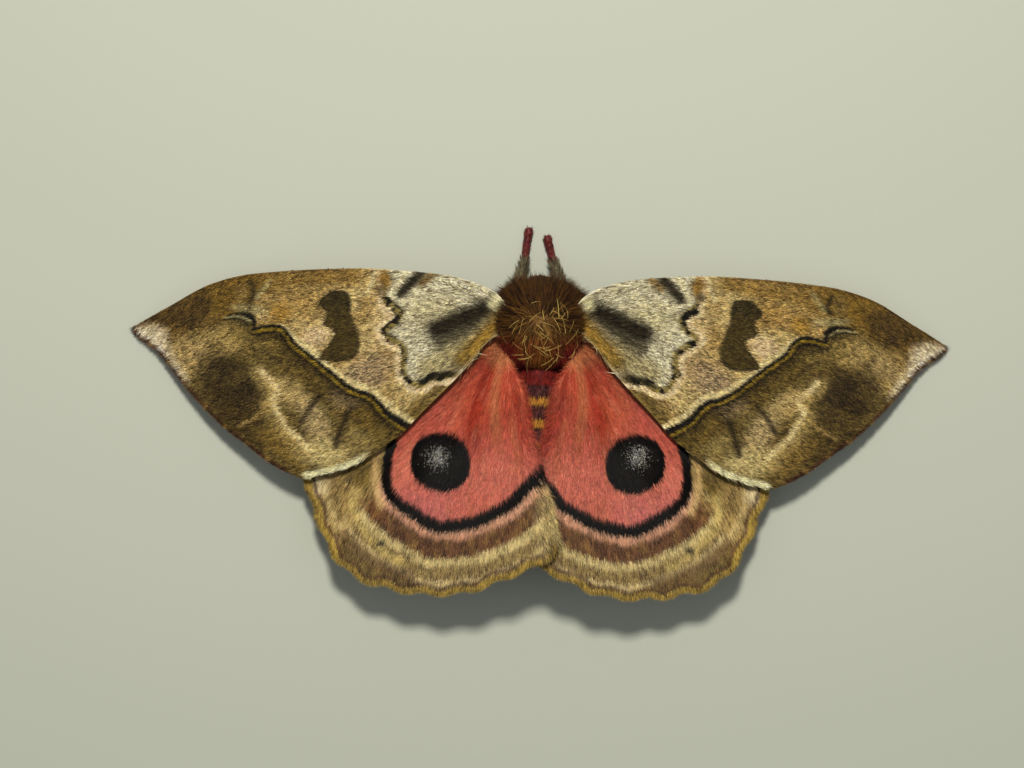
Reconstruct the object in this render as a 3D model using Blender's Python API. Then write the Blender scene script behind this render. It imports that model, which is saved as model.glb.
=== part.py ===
"""A South American silk moth at rest with its hindwings bared, life size.

Sizes are in millimetres until an object is made. x runs to the moth's right, y to its head and z up from the
floor. A wing is drawn once, by distance out from the midline and distance forward, and mirrored.
"""

import math
import random
from dataclasses import dataclass, replace

import bmesh
import bpy
import numpy as np

MM = 0.001
GAP = 0.3  # air kept between neighbouring parts
SIDES = {"left": -1, "right": 1}
BODY_FORWARD = 8.95  # how far the wing roots lie ahead of the middle of the whole outline

# Wings: membrane, veins and the pitch of the resting wings
MEMBRANE = 0.5
RIDGE_HEIGHT = 0.22
RIDGE_SHARE = 0.014  # half width of a vein as a share of the wing's width
ROOT_THICKNESS = 0.9
ROOT_TAPER = (4.5, 9.5)
ROOT_COLUMNS = np.array([0, 0.05, 0.12, 0.2, 0.3])
ROOT_ROWS = np.linspace(-0.08, 1.08, 12)
WING_TOP = 9.6  # height of the wing sheet over the midline
WING_DROOP = 0.10
WING_CURVE = 0.0014
CAMBER = 0.4
LAP_DROP = 1.5  # how far the hindwing's front lies under the forewing
HIND_RISE = 0.4  # how far its bared part stands over the sheet
LAP_SLOPE = (1.0, 7.5)  # the rise starts and ends this far behind the forewing's hind edge
MIDLINE_STEP = 0.8  # the left hindwing lies this much higher at the midline, and the right one lower
MIDLINE_REACH = (-3.0, 8.0)
LOBE = 0.25  # swing of the scalloped outer margin

# Body: each station is forward, half width, height above and below the axis, and height of the axis
THORAX = [
    (4.75, 1.6, 1.7, 1.5, 6.7),
    (4.3, 2.8, 2.8, 2.4, 6.8),
    (3.0, 4.1, 4.0, 3.4, 6.9),
    (1.0, 4.8, 4.5, 3.9, 6.9),
    (-1.2, 4.4, 4.0, 3.6, 6.6),
    (-2.8, 3.5, 3.0, 3.0, 6.0),
    (-3.3, 2.7, 2.2, 2.3, 5.8),
]
HEAD = [
    (4.75 + GAP, 1.1, 1.2, 1.2, 5.8),
    (5.4, 1.7, 1.7, 1.8, 5.7),
    (6.2, 2.1, 2.0, 2.2, 5.5),
    (7.1, 1.9, 1.6, 2.1, 5.4),
    (7.6, 1.3, 1.0, 1.5, 5.2),
    (7.85, 0.6, 0.45, 0.7, 5.0),
]
ABDOMEN = [
    (-3.3 - GAP, 2.7, 2.2, 2.3, 5.7),
    (-5.4, 3.3, 2.8, 3.1, 5.4),
    (-8.4, 3.5, 3.1, 3.3, 5.2),
    (-11.6, 3.3, 3.0, 3.1, 5.0),
    (-14.8, 2.8, 2.6, 2.6, 4.7),
    (-17.6, 1.9, 1.8, 1.8, 4.3),
    (-19.4, 0.9, 0.9, 0.9, 4.0),
]
ABDOMEN_RINGS = 7
RING_STEP = 0.2  # the hind edge of each ring of the abdomen stands this far over the next

EYE_RADIUS = 0.95
EYE_PLACE = (1.72, 6.45, 5.2)

PALP = [(0.55, 6.6, 4.1), (0.75, 7.3, 3.9), (0.7, 7.75, 4.3)]
PALP_WIDTHS = [(0, 0.38), (0.6, 0.45), (1, 0.27)]

ANTENNA = [
    (1.0, 6.4, 6.4),
    (1.9, 7.0, 6.4),
    (3.3, 6.5, 6.0),
    (4.8, 5.0, 5.7),
    (6.2, 3.0, 5.6),
    (7.4, 0.6, 5.2),
    (8.3, -1.9, 5.0),
]
ANTENNA_WIDTHS = [(0, 0.32), (0.5, 0.28), (1, 0.25)]
COMB_TEETH = 13  # on each side of the antenna
COMB_SPAN = (0.13, 0.98)
COMB_REACH = [(0.1, 0.6), (0.4, 1.15), (0.7, 1.0), (1, 0.45)]
COMB_TILT = 0.35
COMB_BEND = 0.25  # how far a tooth bends to the antenna's tip, as a share of its length
COMB_STEP = 0.02  # share of the antenna over which its direction is read
TOOTH_WIDTH = 0.5
TOOTH_WAIST = 0.8  # width halfway along a tooth, as a share of the width at its root

# Legs: root in the body, knee, ankle, and the foot as it lies on the floor
FOOT_AXIS = 0.42  # less than the foot's radius, so that it stands on a flat
FLOOR_POINT = 0.55  # height of the axis where the foot comes down
LEGS = {
    "foreleg_left": [
        (-1.9, 2.6, 4.6), (-3.5, 6.7, 3.0), (-2.15, 10.5, 1.35),
        (-1.95, 12.2, FLOOR_POINT), (-1.7, 14.2, FOOT_AXIS),
    ],
    "foreleg_right": [
        (1.9, 2.6, 4.6), (3.4, 6.8, 3.0), (1.45, 10.4, 1.35),
        (1.05, 11.8, FLOOR_POINT), (0.6, 13.2, FOOT_AXIS),
    ],
    "midleg_left": [
        (-2.4, 0.8, 3.9), (-7.6, 3.4, 2.8), (-10.9, 4.7, 1.2),
        (-12.5, 5.2, FLOOR_POINT), (-15.0, 5.9, FOOT_AXIS),
    ],
    "midleg_right": [
        (2.4, 0.8, 3.9), (7.7, 3.1, 2.8), (10.8, 4.3, 1.2),
        (12.4, 4.7, FLOOR_POINT), (14.9, 5.2, FOOT_AXIS),
    ],
    "hindleg_left": [
        (-2.2, -1.0, 4.4), (-7.0, -4.0, 4.0), (-9.6, -8.0, 1.2),
        (-10.3, -9.6, FLOOR_POINT), (-11.1, -12.4, FOOT_AXIS),
    ],
    "hindleg_right": [
        (2.2, -1.0, 4.4), (6.8, -4.3, 4.0), (9.3, -8.4, 1.2),
        (10.0, -10.0, FLOOR_POINT), (10.9, -12.7, FOOT_AXIS),
    ],
}
FEMUR_WIDTHS = [(0, 0.8), (0.5, 0.9), (1, 0.5)]
TIBIA_WIDTHS = [(0, 0.5), (0.4, 0.75), (1, 0.5)]
FORE_TIBIA_WIDTHS = [(0, 0.6), (0.35, 1.05), (1, 0.6)]
FOOT_WIDTHS = [(0, 0.46), (0.75, 0.5), (0.9, 0.64), (1, 0.6)]
FOOT_JOINTS = 5
JOINT_RIPPLE = 0.1  # how much a foot narrows between its joints
ROUND_END_PLACES = (0.07, 0.3)  # rings of a round end, as shares of its radius from the tip
ROUND_END_SIZES = (0.37, 0.71)

LOCK_THICKNESS = 0.55
LOCK_SHARES = (0, 0.35, 0.72)  # where a lock's three rings stand along it
LOCK_SIZES = (0.8, 1, 0.75)  # their widths, as shares of the lock's width
LOCK_SUNK = 0.6  # how deep its root is set in the skin
LOCK_BOW = 2.2  # turn of the bow that brings its tip back down
CORE_SKIN = 0.05  # what is kept over the core where locks are cut clear of a wing or leg
BODY_SIDES = 18
BALL_SIDES = 12
BALL_RINGS = 8
BALL_POLE = 0.14  # angle from the pole to the first ring
SHARP_ANGLE = 50
SEED = 11


@dataclass(frozen=True)
class LockRow:
    """A row of locks across the body.

    The angles run round the body from its right side over its back. The lie points away from the midline,
    forward and up, and the cling says how closely it keeps to the skin.
    """

    forward: float
    angles: tuple
    count: int
    lie: tuple
    length: float
    width: float = 1.5
    lift: float = 0.12
    cling: float = 1.0


THORAX_COAT = [
    LockRow(3.7, (15, 165), 8, (0.05, 1, -0.1), 4.1, lift=0.02, cling=0.2),
    LockRow(4.4, (35, 145), 5, (0.1, 1, 0.05), 3.2, 1.3, 0.02, 0.0),
    LockRow(2.7, (46, 134), 5, (0.25, -1, 0), 3.0, 1.7),
    LockRow(1.3, (48, 132), 5, (0.25, -1, 0), 3.0, 1.7),
    LockRow(-0.1, (50, 130), 5, (0.2, -1, 0), 3.0, 1.7),
    LockRow(-1.4, (50, 130), 5, (0.1, -1, 0), 2.8),
    LockRow(-2.5, (52, 128), 5, (0.1, -1, 0.1), 2.4, 1.3, 0.1, 0.3),
    *[
        LockRow(forward, angles, 1, (1, slant, 0), 2.5, 1.5, 0.2)
        for forward, slant in ((3.4, 0.3), (2.3, -0.1), (1.1, -0.3), (-0.1, -0.5))
        for angles in ((36, 46), (134, 144))
    ],
    *[
        LockRow(forward, angles, 2, (0, -0.8, -0.5), 2.0, 1.4, 0.1)
        for forward in (2.4, 0.2)
        for angles in ((-12, 8), (172, 192))
    ],
    LockRow(2.6, (250, 290), 2, (0, -1, 0), 2.2, 1.6, 0.1),
    LockRow(0.2, (250, 290), 2, (0, -1, 0), 2.2, 1.6, 0.1),
]
FLANK_FRINGE = LockRow(0, (0, 0), 1, (0.1, -1, 0), 2.3, 1.7, 0.12)
END_TUFT = [
    LockRow(-17.6, (0, 360), 7, (0.1, -1, 0), 2.6, 1.2, 0.1),
    LockRow(-18.9, (30, 330), 4, (0.1, -1, 0), 2.0, 0.9, 0.05, 0.5),
]

COLOURS = {
    "thorax": "6E5230",
    "head": "6B4A30",
    "abdomen": "6A3B2C",
    "eye": "241A16",
    "antenna": "A8813F",
    "forewing": "A08A5E",
    "hindwing": "A8463A",
    "leg": "7E2E34",
}


@dataclass(frozen=True)
class WingPlan:
    """Outline and veins of a wing.

    The front and hind edges run out from the root to the ends of the outer margin. A vein is its share of the
    way from the front edge to the hind edge, and the share of the wing's length at which it leaves its stem.
    """

    front: tuple
    outer: tuple
    hind: tuple
    hind_pace: float  # under 1 the cross lines of the wing stand squarer to the front edge
    veins: tuple
    cross_vein: float
    cell: tuple
    scallops: int


FOREWING = WingPlan(
    front=((3.2, 2.6), (4.4, 4.4), (5.7, 5.7), (7.5, 6.6), (11, 7.6), (15.5, 8.1), (21.5, 8.4), (28, 8.2),
           (33.5, 7.8), (38, 7.2), (42.4, 5.8), (47, 3.2), (50.5, 1.2), (52, 0.2)),
    outer=((52, 0.2), (51.2, -0.7), (50, -1.4), (48.2, -2.8), (46, -5.4), (43.5, -8.2), (40, -11.5),
           (36.8, -13.8), (34, -15.8), (31.5, -17.1), (29.7, -17.7), (28.6, -17.8)),
    hind=((3.2, 0.6), (5.5, 0.2), (7, -0.9), (8.5, -3), (11, -5.8), (14.4, -9.3), (16.7, -11.8), (19, -13.6),
          (22.5, -16), (25, -17), (27.2, -17.6), (28.6, -17.8)),
    hind_pace=0.6,
    veins=((0.1, 0.08), (0.22, 0.5), (0.34, 0.46), (0.46, 0.46), (0.58, 0.08), (0.69, 0.36), (0.8, 0.24),
           (0.92, 0.08)),
    cross_vein=0.44,
    cell=(0.1, 0.58),
    scallops=0,
)

HINDWING = WingPlan(
    front=((3.4, 0.6), (5.4, 1.0), (9, 0.9), (16, -2.6), (22, -7), (26.4, -11.4), (28.5, -15), (29, -17.4)),
    outer=((29, -17.4), (28.7, -19.2), (27.9, -21.5), (26.6, -24.6), (25.4, -27), (23.6, -29.2),
           (21.3, -30.7), (18.4, -31.4), (15.6, -31.9), (12.8, -32), (10.1, -31.9), (7.5, -31.3), (4.8, -30.2),
           (2.4, -29.1), (0.2, -28.1), (-1.6, -27), (-2.8, -25.5)),
    hind=((3.4, -1.6), (3.9, -2.7), (2.9, -4.6), (2.1, -6.9), (1.4, -9.9), (0.6, -12.6), (-0.2, -14.6),
          (-0.9, -17.1), (-1.9, -19.4), (-2.4, -21.6), (-2.9, -24), (-2.8, -25.5)),
    hind_pace=1.0,
    veins=((0.08, 0.08), (0.2, 0.08), (0.32, 0.4), (0.44, 0.4), (0.57, 0.08), (0.69, 0.3), (0.81, 0.2),
           (0.92, 0.08)),
    cross_vein=0.38,
    cell=(0.2, 0.57),
    scallops=9,
)


# Curves


class SmoothCurve:
    """A smooth curve through points, read by share of its length."""

    STEPS = 12

    def __init__(self, points):
        knots = np.array(points, float)
        ends = np.vstack([2 * knots[0] - knots[1], knots, 2 * knots[-1] - knots[-2]])
        s = np.linspace(0, 1, self.STEPS, endpoint=False)[:, None]
        spans = [
            0.5 * (2 * b + (c - a) * s + (2 * a - 5 * b + 4 * c - d) * s**2 + (3 * b - a - 3 * c + d) * s**3)
            for a, b, c, d in zip(ends, ends[1:], ends[2:], ends[3:])
        ]
        self.points = np.vstack([*spans, knots[-1:]])
        steps = np.linalg.norm(np.diff(self.points, axis=0), axis=1)
        self.along = np.concatenate([[0], np.cumsum(steps)])
        self.length = self.along[-1]

    def at(self, shares):
        """Points at these shares of the length."""
        wanted = np.asarray(shares, float) * self.length
        return np.stack([np.interp(wanted, self.along, axis) for axis in self.points.T], axis=-1)


def smooth_step(limits, value):
    """0 below the first limit, 1 above the second and a smooth rise between."""
    share = np.clip((value - limits[0]) / (limits[1] - limits[0]), 0, 1)
    return share * share * (3 - 2 * share)


def profile(pairs, shares):
    """A size at these shares, from pairs of share and size."""
    known, sizes = zip(*pairs)
    return np.interp(shares, known, sizes)


def unit(vector):
    """The vector at length 1."""
    return np.asarray(vector, float) / np.linalg.norm(vector)


# Objects


def material(name):
    """A plain finish in the colour of this part."""
    made = bpy.data.materials.get(name)
    if made:
        return made
    made = bpy.data.materials.new(name)
    made.use_nodes = True
    levels = [int(COLOURS[name][i:i + 2], 16) / 255 for i in (0, 2, 4)]
    linear = [((c + 0.055) / 1.055) ** 2.4 for c in levels]
    shader = made.node_tree.nodes["Principled BSDF"]
    shader.inputs["Base Color"].default_value = (*linear, 1)
    shader.inputs["Roughness"].default_value = 0.2 if name == "eye" else 0.8
    shader.inputs["Metallic"].default_value = 0
    return made


def new_object(name, points, faces, finish):
    """A mesh object from points in millimetres, with its faces turned out."""
    mesh = bpy.data.meshes.new(name)
    mesh.from_pydata([tuple(map(float, p)) for p in np.asarray(points) * MM], [], faces)
    work = bmesh.new()
    work.from_mesh(mesh)
    bmesh.ops.recalc_face_normals(work, faces=work.faces)
    work.to_mesh(mesh)
    work.free()
    mesh.materials.append(material(finish))
    made = bpy.data.objects.new(name, mesh)
    bpy.context.scene.collection.objects.link(made)
    return made


def loft(name, rings, finish):
    """A closed tube through the rings, with a fan of triangles over each end."""
    rings = np.asarray(rings, float)
    count, sides = rings.shape[:2]
    points = [*rings.reshape(-1, 3), rings[0].mean(0), rings[-1].mean(0)]
    first, last = count * sides, count * sides + 1
    end = (count - 1) * sides
    faces = []
    for j in range(sides):
        k = (j + 1) % sides
        faces.append((first, k, j))
        faces.append((last, end + j, end + k))
        for low in range(0, end, sides):
            faces.append((low + j, low + k, low + sides + k))
            faces.append((low + j, low + sides + k, low + sides + j))
    return new_object(name, points, faces, finish)


def apply_modifier(obj, modifier):
    """Makes a modifier's result the object's own mesh."""
    graph = bpy.context.evaluated_depsgraph_get()
    result = bpy.data.meshes.new_from_object(obj.evaluated_get(graph))
    finish = obj.data.materials[0]
    obj.modifiers.remove(modifier)
    obj.data = result
    result.materials.clear()
    result.materials.append(finish)
    for polygon in result.polygons:
        polygon.material_index = 0


def keep_largest(obj):
    """Drops every closed surface but the largest."""
    work = bmesh.new()
    work.from_mesh(obj.data)
    left = set(work.faces)
    shells = []
    while left:
        shell, front = [], [left.pop()]
        while front:
            face = front.pop()
            shell.append(face)
            for edge in face.edges:
                for other in edge.link_faces:
                    if other in left:
                        left.remove(other)
                        front.append(other)
        shells.append(shell)
    shells.sort(key=lambda faces: sum(face.calc_area() for face in faces))
    scraps = [face for shell in shells[:-1] for face in shell]
    bmesh.ops.delete(work, geom=scraps, context="FACES")
    work.to_mesh(obj.data)
    work.free()


def combine(obj, others, operation):
    """Joins closed objects to obj by UNION, or cuts them from it by DIFFERENCE, and removes them."""
    tools = bpy.data.collections.new("tools")
    bpy.context.scene.collection.children.link(tools)
    for other in others:
        bpy.context.scene.collection.objects.unlink(other)
        tools.objects.link(other)
    boolean = obj.modifiers.new("combine", "BOOLEAN")
    boolean.operation = operation
    boolean.operand_type = "COLLECTION"
    boolean.collection = tools
    boolean.solver = "MANIFOLD"
    apply_modifier(obj, boolean)
    for other in others:
        bpy.data.objects.remove(other)
    bpy.data.collections.remove(tools)
    keep_largest(obj)


# Body


def body_rings(stations, sides, count, swell=0.0):
    """Rings across the body at evenly spread stations, that much bigger all round by the swell."""
    rings = []
    angles = (np.arange(sides) + 0.5) / sides * 2 * math.pi
    stations = SmoothCurve(stations).at(np.linspace(0, 1, count))
    stations[0, 0] += swell
    stations[-1, 0] -= swell
    for forward, half_width, above, below, axis in stations:
        height = np.where(np.sin(angles) > 0, above, below) + swell
        rings.append(np.stack([
            (half_width + swell) * np.cos(angles),
            np.full(sides, forward),
            axis + height * np.sin(angles),
        ], axis=1))
    return rings


def thorax_shape(name, swell=0.0):
    """The thorax, or a cutter that is larger by the swell."""
    return loft(name, body_rings(THORAX, BODY_SIDES, 11, swell), "thorax")


def skin_place(stations, forward, angle):
    """A point on the body's skin and the direction straight out of it there."""
    points = SmoothCurve(stations).points

    def point(forward, angle):
        sizes = [np.interp(-forward, -points[:, 0], points[:, i]) for i in range(1, 5)]
        half_width, above, below, axis = sizes
        height = above if math.sin(angle) > 0 else below
        return np.array([half_width * math.cos(angle), forward, axis + height * math.sin(angle)])

    round_body = point(forward, angle + 0.05) - point(forward, angle - 0.05)
    along_body = point(forward + 0.2, angle) - point(forward - 0.2, angle)
    return point(forward, angle), unit(np.cross(along_body, round_body))


def lock(root, lie, outward, length, width, lift):
    """A flat, tapered lock of hair whose root is sunk in the skin and whose tip bends back along its lie."""
    across = unit(np.cross(lie, outward))
    points = []
    for share, size in zip(LOCK_SHARES, LOCK_SIZES):
        sunk = 0 if share else LOCK_SUNK
        centre = root + lie * length * share + outward * (length * lift * math.sin(share * LOCK_BOW) - sunk)
        side, rise = across * width * size / 2, outward * LOCK_THICKNESS * size / 2
        points += [centre - side, centre + rise, centre + side, centre - rise]
    points.append(root + lie * length + outward * length * lift * math.sin(LOCK_BOW))
    faces = [(0, 1, 2), (0, 2, 3)]
    for low in (0, 4):
        for j in range(4):
            k = (j + 1) % 4
            faces += [(low + j, low + 4 + j, low + 4 + k), (low + j, low + 4 + k, low + k)]
    faces += [(8 + j, 12, 8 + (j + 1) % 4) for j in range(4)]
    return new_object("lock", points, faces, "thorax")


def lock_row(stations, row, draw):
    """One row of locks across the body, each drawn a little differently."""
    locks = []
    first, last = row.angles
    for i in range(row.count):
        angle = math.radians(first + (last - first) * (i + draw.uniform(0.3, 0.7)) / row.count)
        root, outward = skin_place(stations, row.forward + draw.uniform(-0.2, 0.2), angle)
        sideways, ahead, up = row.lie
        lie = np.array([sideways * math.cos(angle) + draw.uniform(-0.1, 0.1), ahead, up])
        lie = unit(lie - row.cling * outward * (lie @ outward))
        length = row.length * draw.uniform(0.88, 1.1)
        locks.append(lock(root, lie, outward, length, row.width, row.lift))
    return locks


def add_thorax():
    """The thorax with its coat, which leaves the wing roots and the legs clear."""
    draw = random.Random(SEED)
    thorax = thorax_shape("thorax")
    locks = [made for row in THORAX_COAT for made in lock_row(THORAX, row, draw)]
    combine(thorax, locks, "UNION")
    clear = []
    for side in SIDES:
        clear.append(wing_solid("forewing_room", side, FOREWING, fore_height, ROOT_COLUMNS, ROOT_ROWS, GAP))
        clear.append(wing_solid("hindwing_room", side, HINDWING, hind_height, ROOT_COLUMNS, ROOT_ROWS, GAP))
    for root, knee, *_ in LEGS.values():
        widths = [(share, radius + GAP) for share, radius in FEMUR_WIDTHS]
        clear.append(loft("leg_room", limb_rings([root, knee], widths), "leg"))
    for cutter in clear:
        combine(cutter, [thorax_shape("core", CORE_SKIN)], "DIFFERENCE")
    combine(thorax, clear, "DIFFERENCE")


def add_abdomen():
    """The abdomen, each of whose rings stands over the next, with its fringes and end tuft."""
    curve = SmoothCurve(ABDOMEN)
    rings = []
    angles = (np.arange(BODY_SIDES) + 0.5) / BODY_SIDES * 2 * math.pi
    for segment in range(ABDOMEN_RINGS):
        for share, step in ((0.02, 0.0), (0.45, 0.7), (0.94, 1.0)):
            forward, half_width, above, below, axis = curve.at((segment + share) / ABDOMEN_RINGS)
            swell = RING_STEP * step
            height = np.where(np.sin(angles) > 0, above, below) + swell
            rings.append(np.stack([
                (half_width + swell) * np.cos(angles),
                np.full(BODY_SIDES, forward),
                axis + height * np.sin(angles),
            ], axis=1))
    abdomen = loft("abdomen", rings, "abdomen")
    draw = random.Random(SEED)
    rows = list(END_TUFT)
    for segment in range(1, ABDOMEN_RINGS - 1):
        forward = curve.at((segment + 0.4) / ABDOMEN_RINGS)[0]
        rows += [replace(FLANK_FRINGE, forward=forward, angles=angles) for angles in ((-30, 22), (158, 210))]
    combine(abdomen, [made for row in rows for made in lock_row(ABDOMEN, row, draw)], "UNION")


def ball(name, centre, radius, finish):
    """A round ball with closed poles."""
    rings = []
    angles = (np.arange(BALL_SIDES) + 0.5) / BALL_SIDES * 2 * math.pi
    for polar in np.linspace(BALL_POLE, math.pi - BALL_POLE, BALL_RINGS):
        ring = np.stack([
            np.full(BALL_SIDES, math.cos(polar)),
            math.sin(polar) * np.cos(angles),
            math.sin(polar) * np.sin(angles),
        ], axis=1)
        rings.append(np.asarray(centre) + radius * ring)
    return loft(name, rings, finish)


def mirrored(points, side):
    """Points of the right side, put on the named side."""
    return [(SIDES[side] * x, y, z) for x, y, z in points]


def add_head():
    """The head with its palps, hollowed for the eyes, and the eyes."""
    head = loft("head", body_rings(HEAD, BODY_SIDES, 10), "head")
    palps = [loft("palp", limb_rings(mirrored(PALP, side), PALP_WIDTHS, steps=4), "head") for side in SIDES]
    combine(head, palps, "UNION")
    sockets = [
        ball("socket", mirrored([EYE_PLACE], side)[0], EYE_RADIUS + GAP, "eye")
        for side in SIDES
    ]
    combine(head, sockets, "DIFFERENCE")
    for side in SIDES:
        ball(f"eye_{side}", mirrored([EYE_PLACE], side)[0], EYE_RADIUS, "eye")


# Limbs


def limb_rings(path, widths, trims=(0, 0), sides=8, steps=6, ripples=0, reach=None):
    """Rings of a limb with round ends along a smooth path.

    The trims shorten its ends, ripples narrow it between that many joints, and a reach spreads it in height.
    """
    curve = SmoothCurve(path)
    start, end = trims[0], curve.length - trims[1]
    first, last = widths[0][1], widths[-1][1]
    round_place, round_size = np.array(ROUND_END_PLACES), np.array(ROUND_END_SIZES)
    body = np.linspace(start + first, end - last, steps)
    places = np.concatenate([start + first * round_place, body, end - last * round_place[::-1]])
    shares = (places - start) / (end - start)
    radii = profile(widths, shares)
    if ripples:
        radii = radii * (1 - JOINT_RIPPLE * np.cos(2 * math.pi * ripples * shares))
    ends = np.concatenate([round_size, np.ones(steps), round_size[::-1]])
    heights = profile(reach, shares) if reach else radii
    centres = curve.at(places / curve.length)
    ahead = np.gradient(curve.at(np.clip((places[:, None] + (-0.1, 0.1)) / curve.length, 0, 1)), axis=1)[:, 0]
    angles = (np.arange(sides) + 0.5) / sides * 2 * math.pi
    rings = []
    for centre, direction, radius, height, round_off in zip(centres, ahead, radii, heights, ends):
        across = unit(np.cross(unit(direction), (0, 0, 1)))
        up = np.cross(across, unit(direction))
        rings.append(
            centre
            + round_off * radius * np.outer(np.cos(angles), across)
            + round_off * height * np.outer(np.sin(angles), up)
        )
    return rings


def joint_trim(before, joint, after, radius):
    """How far short of a bent joint two round ends stop, so that a gap stays between them."""
    before, joint, after = np.asarray(before), np.asarray(joint), np.asarray(after)
    bend = math.acos(np.clip(unit(joint - before) @ unit(after - joint), -1, 1))
    return (radius + GAP / 2) / math.cos(bend / 2) - radius


def add_leg(name, points):
    """Femur, tibia and foot. The femur is cut clear of the thorax, and the foot stands on a flat."""
    root, knee, ankle, floor, tip = points
    knee_trim = joint_trim(root, knee, ankle, FEMUR_WIDTHS[-1][1])
    ankle_trim = joint_trim(knee, ankle, floor, TIBIA_WIDTHS[-1][1])
    femur = loft(f"{name}_femur", limb_rings([root, knee], FEMUR_WIDTHS, (0, knee_trim)), "leg")
    combine(femur, [thorax_shape("cutter", GAP)], "DIFFERENCE")
    tibia_widths = FORE_TIBIA_WIDTHS if name.startswith("foreleg") else TIBIA_WIDTHS
    loft(f"{name}_tibia", limb_rings([knee, ankle], tibia_widths, (knee_trim, ankle_trim)), "leg")
    foot = limb_rings([ankle, floor, tip], FOOT_WIDTHS, (ankle_trim, 0), 6, 12, FOOT_JOINTS)
    foot = np.array(foot)
    foot[..., 2] = np.maximum(foot[..., 2], 0)
    loft(f"{name}_foot", foot, "leg")


def comb_tooth(root, lie, ahead, length):
    """A tooth of the comb: a slim spike that leans towards the antenna's tip."""
    across = unit(np.cross(lie, ahead))
    points = []
    for share, width in ((0, TOOTH_WIDTH), (0.5, TOOTH_WAIST * TOOTH_WIDTH)):
        centre = root + lie * length * share + ahead * COMB_BEND * length * share**2
        points += [centre + turn * width / 2 for turn in (ahead, across, -ahead, -across)]
    points.append(root + lie * length + ahead * COMB_BEND * length)
    faces = [(0, 1, 2), (0, 2, 3)]
    for j in range(4):
        k = (j + 1) % 4
        faces += [(j, 4 + j, 4 + k), (j, 4 + k, k), (4 + j, 8, 4 + k)]
    return new_object("tooth", points, faces, "antenna")


def add_antenna(side):
    """A comb-like antenna, swept back under the forewing."""
    path = mirrored(ANTENNA, side)
    antenna = loft(f"antenna_{side}", limb_rings(path, ANTENNA_WIDTHS, sides=6, steps=13), "antenna")
    curve = SmoothCurve(path)
    shares = np.linspace(*COMB_SPAN, COMB_TEETH)
    teeth = []
    for share, length in zip(shares, profile(COMB_REACH, shares)):
        root = curve.at(share)
        ahead = unit(curve.at(min(share + COMB_STEP, 1)) - curve.at(share - COMB_STEP))
        sideways = unit(np.cross(ahead, (0, 0, 1))) * SIDES[side] * -1
        for turn in (1, -1):
            lie = unit(turn * np.array([0, 0, 1]) + COMB_TILT * sideways)
            teeth.append(comb_tooth(root, lie, ahead, length))
    combine(antenna, teeth, "UNION")
    combine(antenna, [loft("cutter", body_rings(HEAD, BODY_SIDES, 10, GAP), "head")], "DIFFERENCE")


# Wings


def sheet_height(out):
    """Height of the sheet that the resting wings lie on."""
    reach = np.sqrt(out**2 + 1)
    return WING_TOP - WING_DROOP * reach - WING_CURVE * reach**2


def fore_height(side, out, forward, across):
    """Height of the middle of the forewing's membrane."""
    return sheet_height(out) + CAMBER * (np.sin(math.pi * across) - 0.5) * smooth_step((5, 15), out)


def hind_height(side, out, forward, across):
    """Height of the hindwing, which dips under the forewing and crosses its fellow at the midline."""
    root = np.array([5.5, 0.2])
    lap_line = unit((16.2, 17.0))  # square to the forewing's hind edge
    behind = -((out - root[0]) * lap_line[0] + (forward - root[1]) * lap_line[1])
    bared = smooth_step(LAP_SLOPE, behind)
    crossing = (1 - smooth_step(MIDLINE_REACH, out)) * smooth_step((3, 8), behind)
    lapped = sheet_height(out) - LAP_DROP + (LAP_DROP + HIND_RISE) * bared
    return lapped - SIDES[side] * MIDLINE_STEP * crossing


def vein_rows(plan):
    """Shares across the wing: three rows for each vein and one in the middle of each field."""
    edges = [0.0]
    for share, _ in plan.veins:
        edges += [share - RIDGE_SHARE, share, share + RIDGE_SHARE]
    edges.append(1.0)
    fields = [(a + b) / 2 for a, b in zip(edges[::3], edges[1::3]) if b - a > 0.06]
    return np.array(sorted(edges + fields))


def wing_columns(plan):
    """Shares along the wing, with three close columns at the cross vein."""
    cross = plan.cross_vein
    close = [cross - 0.02, cross, cross + 0.02]
    return np.array(sorted([0, 0.07, 0.15, 0.26, *close, 0.56, 0.68, 0.79, 0.9, 1]))


def wing_plan_points(plan, along, across):
    """Out and forward distances on a grid, blended from the four edges of the wing."""
    front, outer, hind = SmoothCurve(plan.front), SmoothCurve(plan.outer), SmoothCurve(plan.hind)
    t, v = along[:, None, None], across[None, :, None]
    front_edge, hind_edge = front.at(along)[:, None], hind.at(along**plan.hind_pace)[:, None]
    root_front, root_hind = np.array(plan.front[0]), np.array(plan.hind[0])
    base_edge = root_front + v * (root_hind - root_front)
    outer_edge = outer.at(across)
    if plan.scallops:
        ahead = np.gradient(outer_edge, axis=0)
        outwards = np.stack([-ahead[:, 1], ahead[:, 0]], axis=1)
        outwards /= np.linalg.norm(outwards, axis=1)[:, None]
        swing = LOBE * np.cos(2 * math.pi * plan.scallops * across) * smooth_step((0, 0.1), across)
        outer_edge = outer_edge - outwards * swing[:, None]
    outer_edge = outer_edge[None]
    tip, corner = np.array(plan.front[-1]), np.array(plan.hind[-1])
    corners = (1 - t) * ((1 - v) * root_front + v * root_hind) + t * ((1 - v) * tip + v * corner)
    return (1 - v) * front_edge + v * hind_edge + (1 - t) * base_edge + t * outer_edge - corners


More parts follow.
